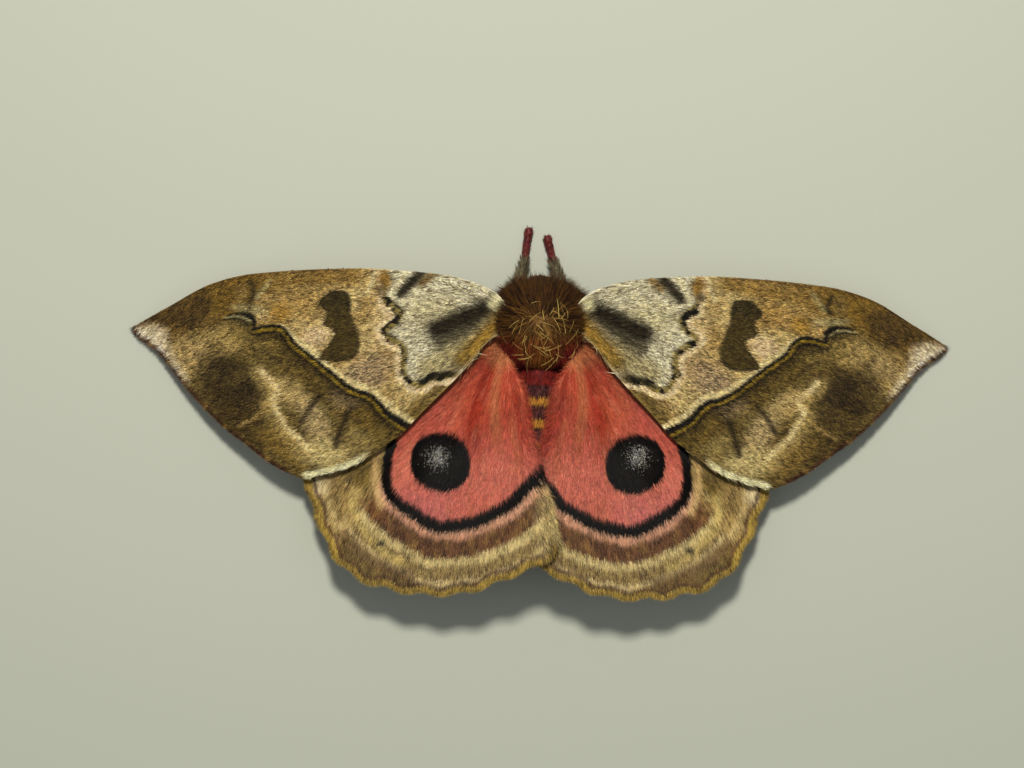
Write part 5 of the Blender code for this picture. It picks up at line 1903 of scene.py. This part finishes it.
    def build_head_coat(self) -> None:
        """Grows the short fur of the head, and of the palps under it."""
        draw = np.random.default_rng(self.seed + 3)
        share, angle = self.shape.scatter(self.head_hairs, (7.8, 4.9), draw)
        count = len(share)
        lie = np.stack([0.5 * np.cos(angle), np.ones(count) * 0.8, 0.3 * np.sin(angle)], axis=1)
        batch = [self.grow(share, angle, lie, draw.uniform(0.3, 0.6, count), (0.1, 0.4), 0.05, draw, 0.05,
                           (4.9, 7.8))]
        for side in Side:
            batch.append(self.palp_hairs(side, draw))
        Batch.join(batch).place("head_coat", self.fur, "body_fur", "head")

    def palp_hairs(self, side: Side, draw: np.random.Generator, count: int = 420) -> Batch:
        """Makes one palp as a brush of hairs on its axis."""
        axis = SmoothCurve([(side.value * x, y, z) for x, y, z in self.palp])
        share = draw.uniform(0, 0.95, count)
        roots = axis.at(share)
        ahead = unit(axis.at(np.minimum(share + 0.05, 1)) - axis.at(share - 0.05 * (share > 0.05)))
        around = unit(np.cross(ahead, draw.normal(0, 1, (count, 3))))
        size = np.interp(share, (0, 0.6, 1), (0.34, 0.42, 0.2))[:, None]
        base = roots + 0.3 * size * around
        middle = roots + 0.15 * ahead + size * around
        tip = roots + 0.4 * ahead + size * 0.9 * around
        colours = np.tile(linear("5A3824"), (count, 1)) * np.exp(draw.normal(0, 0.25, count))[:, None]
        bake = np.stack([0.3 + 0.4 * (side is Side.RIGHT) + 0.1 * draw.random(count), 0.02 + 0.05 * share],
                        axis=1)
        return strands(np.stack([base, middle, tip], axis=1), np.full(count, 0.05), colours, bake)

    def build_strays(self) -> None:
        """Adds the golden hairs that lie loose over the fur of the thorax."""
        draw = np.random.default_rng(self.seed + 4)
        count = self.strays
        forward = draw.uniform(-1.8, 4.3, count)
        angle = np.radians(draw.normal(68, 30, count))
        share = self.shape.share_at(forward)
        roots = self.shape.place(share, angle)
        _, outward = self.shape.directions(share, angle)
        turn = draw.uniform(0, 2 * math.pi, count)
        lie = np.stack([np.cos(turn), np.sin(turn), np.zeros(count)], axis=1)
        lie = unit(lie - outward * (lie * outward).sum(1)[:, None])
        aside = np.cross(lie, outward)
        length = draw.uniform(1.0, 2.7, count)[:, None]
        curl = draw.normal(0, 0.13, count)[:, None]
        high = draw.uniform(0.75, 1.25, count)[:, None]
        knots = []
        for step in np.linspace(0, 1, 8):
            bow = math.sin(step * math.pi)
            rise = high * (0.85 + 0.15 * step) + 0.15 * bow
            knots.append(roots + length * step * lie + outward * rise + aside * curl * length * step**2)
        colours = np.tile(linear("F0CC70"), (count, 1)) * np.exp(draw.normal(0, 0.25, count))[:, None]
        batch = strands(np.stack(knots, axis=1), np.full(count, 0.03), colours, rolled_out(share, angle))
        batch.place("golden_hairs", self.fur, "body_fur", "thorax")

    def build_eyes(self) -> None:
        """Sets a finely beaded eye in each side of the head."""
        finish = FacetedEye().make()
        for side in Side:
            x, y, z = self.eye_place
            share, turn = np.meshgrid(np.linspace(0.03, 0.97, 36), np.arange(56) / 56, indexing="ij")
            polar, around = share.ravel() * math.pi, turn.ravel() * 2 * math.pi
            ball = np.stack([
                np.sin(polar) * np.cos(around),
                np.cos(polar),
                np.sin(polar) * np.sin(around),
            ], axis=1)
            points = np.vstack([ball, (0, 1, 0), (0, -1, 0)]) * self.eye_radius + (side.value * x, y, z)
            eye = make_piece(f"eye_{side.label}_lens", points, np.array(tube_faces(36, 56)), finish,
                             smooth=True)
            hand_over(eye, "eye", f"eye_{side.label}")


# Legs and antennae


def limb(path: Points, widths: Points, rings: int, sides: int, floor: float = 0.0) -> tuple:
    """Makes a round limb with tapering ends.

    Args:
        path: its route.
        widths: pairs of share and radius.
        rings: rings along it.
        sides: points in each ring.
        floor: nothing goes below this height.

    Returns:
        Points, faces, the share and angle of each point, and the curve.
    """
    curve = SmoothCurve(path)
    share = np.linspace(0, 1, rings)
    centres = curve.at(share)
    ahead = unit(np.gradient(centres, axis=0))
    across = unit(np.cross(ahead, UP))
    over = np.cross(across, ahead)
    radius = profile(widths, share) * np.sqrt(np.clip(np.minimum(share, 1 - share) / 0.02, 0.08, 1))
    angle = np.arange(sides) / sides * 2 * math.pi
    around = np.cos(angle)[None, :, None] * across[:, None] + np.sin(angle)[None, :, None] * over[:, None]
    points = (centres[:, None] + radius[:, None, None] * around).reshape(-1, 3)
    points = np.vstack([points, centres[0], centres[-1]])
    points[:, 2] = np.maximum(points[:, 2], floor)
    shares = np.append(np.repeat(share, sides), (0, 1))
    angles = np.append(np.tile(angle, rings), (0, 0))
    return points, np.array(tube_faces(rings, sides)), shares, angles, curve


@dataclass
class Leg:
    """One leg: a jointed skin under fur, with a crimson foot, spines and claws."""

    name: str
    side: Side
    route: Points
    fur: bpy.types.Material
    horn: bpy.types.Material
    seed: int
    tibia_share: float = 1.0  # thickness of the tibia's fur
    hairs: int = 1300
    foot_fur: float = 0.05  # how far the foot's hairs stand off
    clear: float = 0.1  # no hair's axis goes below this height

    def route_points(self) -> list:
        """The route with close points at its joints, so that it bends there and runs straight between."""
        points = [np.array(point, float) for point in self.route]
        root, knee, ankle, floor, tip = points
        return [
            root, root + 0.5 * (knee - root), root + 0.9 * (knee - root), knee + 0.1 * (ankle - knee),
            knee + 0.5 * (ankle - knee), knee + 0.9 * (ankle - knee), ankle + 0.3 * (floor - ankle), floor,
            floor + 0.5 * (tip - floor), tip,
        ]

    def joints(self) -> tuple:
        """Shares of the leg's length at the knee and the ankle."""
        points = [np.array(point, float) for point in self.route]
        steps = [float(np.linalg.norm(b - a)) for a, b in zip(points, points[1:])]
        whole = sum(steps)
        return steps[0] / whole, (steps[0] + steps[1]) / whole

    def widths(self) -> list:
        """Radius of the bare leg along its length."""
        knee, ankle = self.joints()
        thick = 0.55 * self.tibia_share
        foot = 1 - ankle
        return [
            (0, 0.62), (0.5 * knee, 0.66), (0.96 * knee, 0.4), (knee + 0.01, 0.36),
            (knee + 0.4 * (ankle - knee), thick), (ankle - 0.01, 0.34), (ankle + 0.1 * foot, 0.36),
            (ankle + 0.7 * foot, 0.4), (ankle + 0.86 * foot, 0.5), (1, 0.45),
        ]

    def build(self) -> None:
        """Makes the skin, the fur, the spines and the claws."""
        points, faces, share, angle, curve = limb(self.route_points(), self.widths(), 90, 18, FLOOR_GAP)
        _, ankle = self.joints()
        rippled = 1 + 0.09 * np.cos(2 * math.pi * 5 * np.clip((share - ankle) / (1 - ankle), 0, 1))
        centres = curve.at(share)
        points = centres + (points - centres) * np.where(share > ankle, rippled, 1)[:, None]
        points[:, 2] = np.maximum(points[:, 2], FLOOR_GAP)
        draw = np.random.default_rng(self.seed)
        # painted shade: the leg's skin is darkened under its fur
        colours = self.colours(share, draw, 0.0) * SKIN_PAINTED_SHADE
        skin = make_piece(f"{self.name}_skin", points, faces, self.fur, colours, rolled_out(share, angle),
                          smooth=True)
        nodes = [f"{self.name}_{part}" for part in ("femur", "tibia", "foot")]
        hand_over(skin, "leg", *nodes)
        self.build_fur(curve, nodes)
        self.build_spines(curve, nodes)

    def colours(self, share: Array, draw: np.random.Generator, spread: float) -> Array:
        """Grey-brown on the femur and tibia, crimson on the foot."""
        _, ankle = self.joints()
        crimson = smooth_step((ankle - 0.06, ankle + 0.02), share + draw.normal(0, 0.02, len(share)))[:, None]
        dark = draw.random(len(share))[:, None] < 0.35
        furry = np.where(dark, linear("3E3828"), linear("7C7256"))
        red = np.where(dark, linear("431412"), linear("742420"))
        return (furry + (red - furry) * crimson) * np.exp(draw.normal(0, spread + 1e-6, len(share)))[:, None]

    def build_fur(self, curve: SmoothCurve, nodes: list) -> None:
        """Covers the leg with hairs that lie towards its foot."""
        draw = np.random.default_rng(self.seed + 1)
        count = self.hairs
        share = draw.uniform(0.03, 0.995, count)
        _, ankle = self.joints()
        angle = draw.uniform(0, 2 * math.pi, count)
        ahead = curve.ahead(share)
        across = unit(np.cross(ahead, UP))
        over = np.cross(across, ahead)
        outward = np.cos(angle)[:, None] * across + np.sin(angle)[:, None] * over
        round_end = 0.96 * np.sqrt(np.clip((1 - share) / 0.035, 0.02, 1))
        roots = curve.at(share) + outward * (profile(self.widths(), share) * round_end)[:, None]
        roots[:, 2] = np.maximum(roots[:, 2], self.clear)
        long = 1 - smooth_step((ankle - 0.05, ankle + 0.03), share)
        length = (0.35 + 0.85 * long * self.tibia_share) * draw.uniform(0.7, 1.2, count)
        length = length * (1 - 0.75 * smooth_step((0.93, 1.0), share))
        lift = (self.foot_fur + 0.28 * long * self.tibia_share) * draw.uniform(0.3, 1.2, count)
        lie = unit(ahead + 0.15 * draw.normal(0, 1, (count, 3)))
        middle = roots + lie * (0.5 * length)[:, None] + outward * (0.8 * lift)[:, None]
        tip = roots + lie * length[:, None] + outward * lift[:, None]
        paths = np.stack([roots - 0.05 * outward, middle, tip], axis=1)
        paths[..., 2] = np.maximum(paths[..., 2], self.clear)
        batch = strands(paths, draw.uniform(0.03, 0.055, count), self.colours(share, draw, 0.2),
                        rolled_out(share, angle))
        batch.place(f"{self.name}_fur", self.fur, "leg", *nodes)

    def build_spines(self, curve: SmoothCurve, nodes: list) -> None:
        """Adds the spines under the foot's joints and the two claws."""
        _, ankle = self.joints()
        share = ankle + (1 - ankle) * np.repeat(np.arange(1, 6) / 5.3, 2)
        turn = np.tile((-1.0, 1.0), 5)
        centres = curve.at(share)
        ahead = curve.ahead(share)
        across = unit(np.cross(ahead, UP)) * turn[:, None]
        roots = centres + across * 0.3 - UP * 0.12
        roots[:, 2] = np.maximum(roots[:, 2], 0.12)
        aims = unit(0.8 * ahead + 0.7 * across)
        tip = curve.at(1.0)
        end = unit(tip - curve.at(0.97))
        out = unit(np.cross(end, UP))
        claws = np.array([tip + sign * 0.22 * out - 0.1 * UP for sign in (-1, 1)])
        claw_aims = unit(np.array([end + sign * 0.55 * out - 0.12 * UP for sign in (-1, 1)]))
        reach = np.append(np.full(10, 0.3), (0.3, 0.3))
        made = Spikes(f"{self.name} spines", 0.07).make(
            f"{self.name}_spines", np.vstack([roots, claws]), np.vstack([aims, claw_aims]), reach, self.horn)
        low = min(vertex.co.z for vertex in made.data.vertices)
        made.data.transform(Matrix.Translation((0, 0, max(0.0, -low))))
        hand_over(made, "leg", nodes[2])


@dataclass
class Antenna:
    """A comb-like antenna, swept back under the forewing."""

    side: Side
    finish: bpy.types.Material
    route: Points = (
        (1.0, 6.4, 6.4), (1.9, 7.0, 6.4), (3.3, 6.5, 6.0), (4.8, 5.0, 5.7), (6.2, 3.0, 5.6), (7.4, 0.6, 5.2),
        (8.3, -1.9, 5.0),
    )
    widths: Points = ((0, 0.24), (0.1, 0.2), (0.5, 0.17), (1, 0.1))
    teeth: int = 34
    span: tuple = (0.12, 0.98)
    reach: Points = ((0.1, 0.5), (0.35, 1.2), (0.7, 1.0), (1, 0.4))
    tilt: float = 0.45
    tooth: float = 0.05

    def build(self) -> None:
        """Makes the stem, then its four rows of teeth."""
        path = [(self.side.value * x, y, z) for x, y, z in self.route]
        points, faces, share, _, curve = limb(path, self.widths, 110, 14)
        ringed = 1 + 0.08 * np.cos(2 * math.pi * self.teeth * share)
        centres = curve.at(share)
        points = centres + (points - centres) * ringed[:, None]
        stem = make_piece(f"antenna_{self.side.label}_stem", points, faces, self.finish, smooth=True)
        node = f"antenna_{self.side.label}"
        hand_over(stem, "antenna", node)
        places = np.repeat(np.linspace(*self.span, self.teeth), 4)
        turns = np.tile((1.0, 1.0, -1.0, -1.0), self.teeth)
        lean = np.tile((0.28, -0.28, 0.28, -0.28), self.teeth)
        ahead = curve.ahead(places, 0.02)
        sideways = unit(np.cross(ahead, UP)) * -self.side.value
        aims = unit(turns[:, None] * UP + self.tilt * sideways + (0.3 + lean)[:, None] * ahead)
        lengths = profile(self.reach, places) * np.where(lean > 0, 1.0, 0.8)
        made = Spikes(f"antenna comb {self.side.label}", self.tooth, 5, 0.4).make(
            f"{node}_comb", curve.at(places), aims, lengths, self.finish)
        hand_over(made, "antenna", node)


@dataclass
class PaleScales:
    """The loose white and bluish scales that make each eyespot look like a shining ball."""

    side: Side
    count: int = 480
    seed: int = 500
    lift: float = 0.24  # mm from the wing's middle sheet up to the scales' roots

    def build(self, sheet: WingSheet) -> None:
        """Scatters the scales on the hindwing's eyespot, closest in a streak at its middle."""
        draw = np.random.default_rng(self.seed + self.side.value)
        markings = HindwingMarkings(self.side)
        centre = np.array(markings.shine)
        streak = SmoothCurve(
            [(12.3, -13.7), (12.4, -14.5), (12.0, -15.2), (11.7, -15.9)] if self.side is Side.LEFT
            else [(13.3, -13.2), (12.6, -13.4), (12.1, -14.2), (11.9, -15.2), (11.9, -15.9)])
        loose = centre + draw.normal(0, 0.72, (self.count, 2)) * (1.0, 1.05)
        bright = streak.at(draw.random(self.count // 5)) + draw.normal(0, 0.16, (self.count // 5, 2))
        places = np.vstack([loose, bright])
        places = places[markings.eye_distance(places) < -0.9]
        count = len(places)
        out, forward = places.T
        height = POSE.hind(self.side, out, forward, np.zeros(count)) + self.lift
        roots = np.stack([self.side.value * out, forward, height], axis=1)
        turn = np.radians(draw.normal(-90, 28, count))
        lie = unit(np.stack([np.cos(turn), np.sin(turn), np.full(count, 0.05)], axis=1))
        outward = np.tile(UP, (count, 1))
        blue = (draw.random(count) < 0.08 + 0.3 * (out < centre[0]))[:, None]
        colours = np.where(blue, linear("B4BCC8"), linear("FFFBEC")) * draw.uniform(0.35, 1.0, count)[:, None]
        batch = slivers(roots, lie, outward, draw.uniform(0.07, 0.14, count), draw.uniform(0.05, 0.08, count),
                        0.03, draw.uniform(0.02, 0.08, count), colours, sheet.bake_places(places))
        finish = ScaleCoat("pale eyespot scales", roughness=0.4, sheen=0.1, specular=0.4, depth=0.05).make()
        batch.place(f"eyespot_{self.side.label}_scales", finish, "hindwing_scales",
                    f"hindwing_{self.side.label}")


# Studio


@dataclass
class Studio:
    """A pale floor, soft lamps ahead of the moth and a camera that looks straight down."""

    floor_size: float = 3.0
    camera_place: tuple = (-3.37, 3.37, 350.0)
    camera_turn: float = 1.35
    lens: float = 96.75
    key_place: tuple = (-10.0, 165.0, 320.0)
    key_size: float = 45.0
    key_power: float = 1.37
    fill_power: float = 0.11
    sky: float = 0.2
    fill_size: float = 260.0
    fill_place: tuple = (220.0, -60.0, 320.0)

    def build(self) -> None:
        """Sets up the floor, lamps, sky and camera."""
        half = self.floor_size / 2
        mesh = bpy.data.meshes.new("floor")
        mesh.from_pydata([(-half, -half, 0), (half, -half, 0), (half, half, 0), (-half, half, 0)], [],
                         [(0, 1, 2, 3)])
        mesh.materials.append(PaleFloor().make())
        floor = bpy.data.objects.new("floor", mesh)
        bpy.context.scene.collection.objects.link(floor)
        self.lamp("key", self.key_place, self.key_size, self.key_power, "FFF8EC")
        x, y, z = self.fill_place
        self.lamp("fill", (-x, y, z), self.fill_size, self.fill_power, "F4F8FF")
        self.lamp("fill_right", (x, y, z), self.fill_size, self.fill_power, "F4F8FF")
        world = bpy.data.worlds.new("studio")
        world.use_nodes = True
        world.node_tree.nodes["Background"].inputs["Color"].default_value = (*linear("F6F7F4"), 1)
        world.node_tree.nodes["Background"].inputs["Strength"].default_value = self.sky
        bpy.context.scene.world = world
        bpy.context.scene.view_settings.view_transform = "Standard"
        self.add_camera()

    def lamp(self, name: str, place: tuple, size: float, power: float, colour: str) -> None:
        """Adds a square lamp that faces the moth.

        Args:
            name: its name.
            place: where it stands, in mm.
            size: its width in mm.
            power: its power in watts.
            colour: its colour.
        """
        light = bpy.data.lights.new(name, "AREA")
        light.size = size * MM
        light.energy = power
        light.color = linear(colour)
        made = bpy.data.objects.new(name, light)
        made.location = Vector(place) * MM
        made.rotation_euler = made.location.to_track_quat("Z", "Y").to_euler()
        bpy.context.scene.collection.objects.link(made)

    def add_camera(self) -> None:
        """Adds the camera, square to the floor and turned a little as in the photo."""
        lens = bpy.data.cameras.new("camera")
        lens.lens = self.lens
        lens.sensor_width = 36.0
        lens.clip_start = 0.01
        made = bpy.data.objects.new("camera", lens)
        made.location = [value * MM for value in self.camera_place]
        made.rotation_euler = (0, 0, math.radians(self.camera_turn))
        bpy.context.scene.collection.objects.link(made)
        bpy.context.scene.camera = made


# The whole moth


LEG_ROUTES = {
    "foreleg_left": ((-1.9, 2.6, 4.6), (-3.0, 6.6, 3.0), (-2.1, 10.2, 1.35), (-1.95, 11.9, 0.6),
                     (-1.6, 14.35, 0.55)),
    "foreleg_right": ((1.9, 2.6, 4.6), (2.8, 6.7, 3.0), (1.5, 10.0, 1.35), (1.1, 11.4, 0.6),
                      (0.62, 13.4, 0.55)),
    "midleg_left": ((-2.4, 0.8, 3.9), (-7.6, 3.4, 2.8), (-10.9, 4.7, 1.2), (-12.5, 5.2, 0.55),
                    (-15.0, 5.9, 0.42)),
    "midleg_right": ((2.4, 0.8, 3.9), (7.7, 3.1, 2.8), (10.8, 4.3, 1.2), (12.4, 4.7, 0.55),
                     (14.9, 5.2, 0.42)),
    "hindleg_left": ((-2.2, -1.0, 4.4), (-7.0, -4.0, 4.0), (-9.6, -8.0, 1.2), (-10.3, -9.6, 0.55),
                     (-11.1, -12.4, 0.42)),
    "hindleg_right": ((2.2, -1.0, 4.4), (6.8, -4.3, 4.0), (9.3, -8.4, 1.2), (10.0, -10.0, 0.55),
                      (10.9, -12.7, 0.42)),
}


@dataclass
class Moth:
    """The whole moth."""

    fore_upper: Coat = Coat(49000, (0.5, 1.0), (0.08, 0.125), (0.04, 0.13), 15, 0.3)
    fore_under: Coat = Coat(12000, (1.1, 2.0), (0.17, 0.27), (0.04, 0.12), 10, 0.14)
    hind_upper: Coat = Coat(49000, (0.7, 1.6), (0.075, 0.12), (0.04, 0.13), 9, 0.1)
    hind_under: Coat = Coat(12000, (1.1, 2.0), (0.17, 0.27), (0.04, 0.12), 10, 0.14)

    def build(self) -> None:
        """Builds every part."""
        self.build_wings()
        Body().build()
        self.build_limbs()

    def build_wings(self) -> None:
        """Builds the four wings and the pale scales of the eyespots."""
        for number, side in enumerate(Side):
            Wing(
                name="forewing", plan=FOREWING, side=side, height=POSE.fore,
                finish=ScaleCoat(f"forewing scales {side.label}"), slot="forewing_scales",
                upper=self.fore_upper, under=self.fore_under, paint_upper=ForewingMarkings().paint,
                under_markings=UnderMarkings(((36, 5.5), (31, 0), (24, -6), (17, -11.5)), (24.6, 1.4),
                                             (14, 0)),
                ground=Tone("8F7B42", "4A3A18", 0.42), seed=20 + number,
            ).build()
            hindwing = Wing(
                name="hindwing", plan=HINDWING, side=side, height=POSE.hind,
                finish=ScaleCoat(f"hindwing scales {side.label}", roughness=0.58, depth=0.14),
                slot="hindwing_scales", upper=self.hind_upper, under=self.hind_under,
                paint_upper=HindwingMarkings(side).paint,
                under_markings=UnderMarkings(((22, -13), (18, -19), (11, -22.5), (2, -19)), (12, -15.3),
                                             (9, -8)),
                inner_count=2600,
                ground=Tone("BE5C40", "943E2A", 0.3), seed=40 + number, grid=(150, 130),
            )
            hindwing.build()
            PaleScales(side).build(hindwing.sheet)

    def build_limbs(self) -> None:
        """Builds the legs and antennae."""
        fur = ScaleCoat("leg hair", roughness=0.5, sheen=0.06, specular=0.2, grain=0.3, depth=0.15).make()
        horn = Horn("claw horn", "3A2018", "1C100C").make()
        comb = Horn("antenna horn", "8A6A3A", "5A4224", roughness=0.45, coat=0.1).make()
        for number, (name, route) in enumerate(LEG_ROUTES.items()):
            side = Side.LEFT if name.endswith("left") else Side.RIGHT
            thick, foot_fur = (0.85, 0.2) if name.startswith("foreleg") else (1.0, 0.06)
            Leg(name, side, route, fur, horn, seed=600 + 10 * number, tibia_share=thick,
                foot_fur=foot_fur).build()
        for side in Side:
            Antenna(side, comb).build()


def main() -> None:
    """Builds the moth in its studio."""
    logging.basicConfig(level=logging.INFO, format="%(message)s")
    Studio().build()
    Moth().build()


if __name__ == "__main__":
    main()
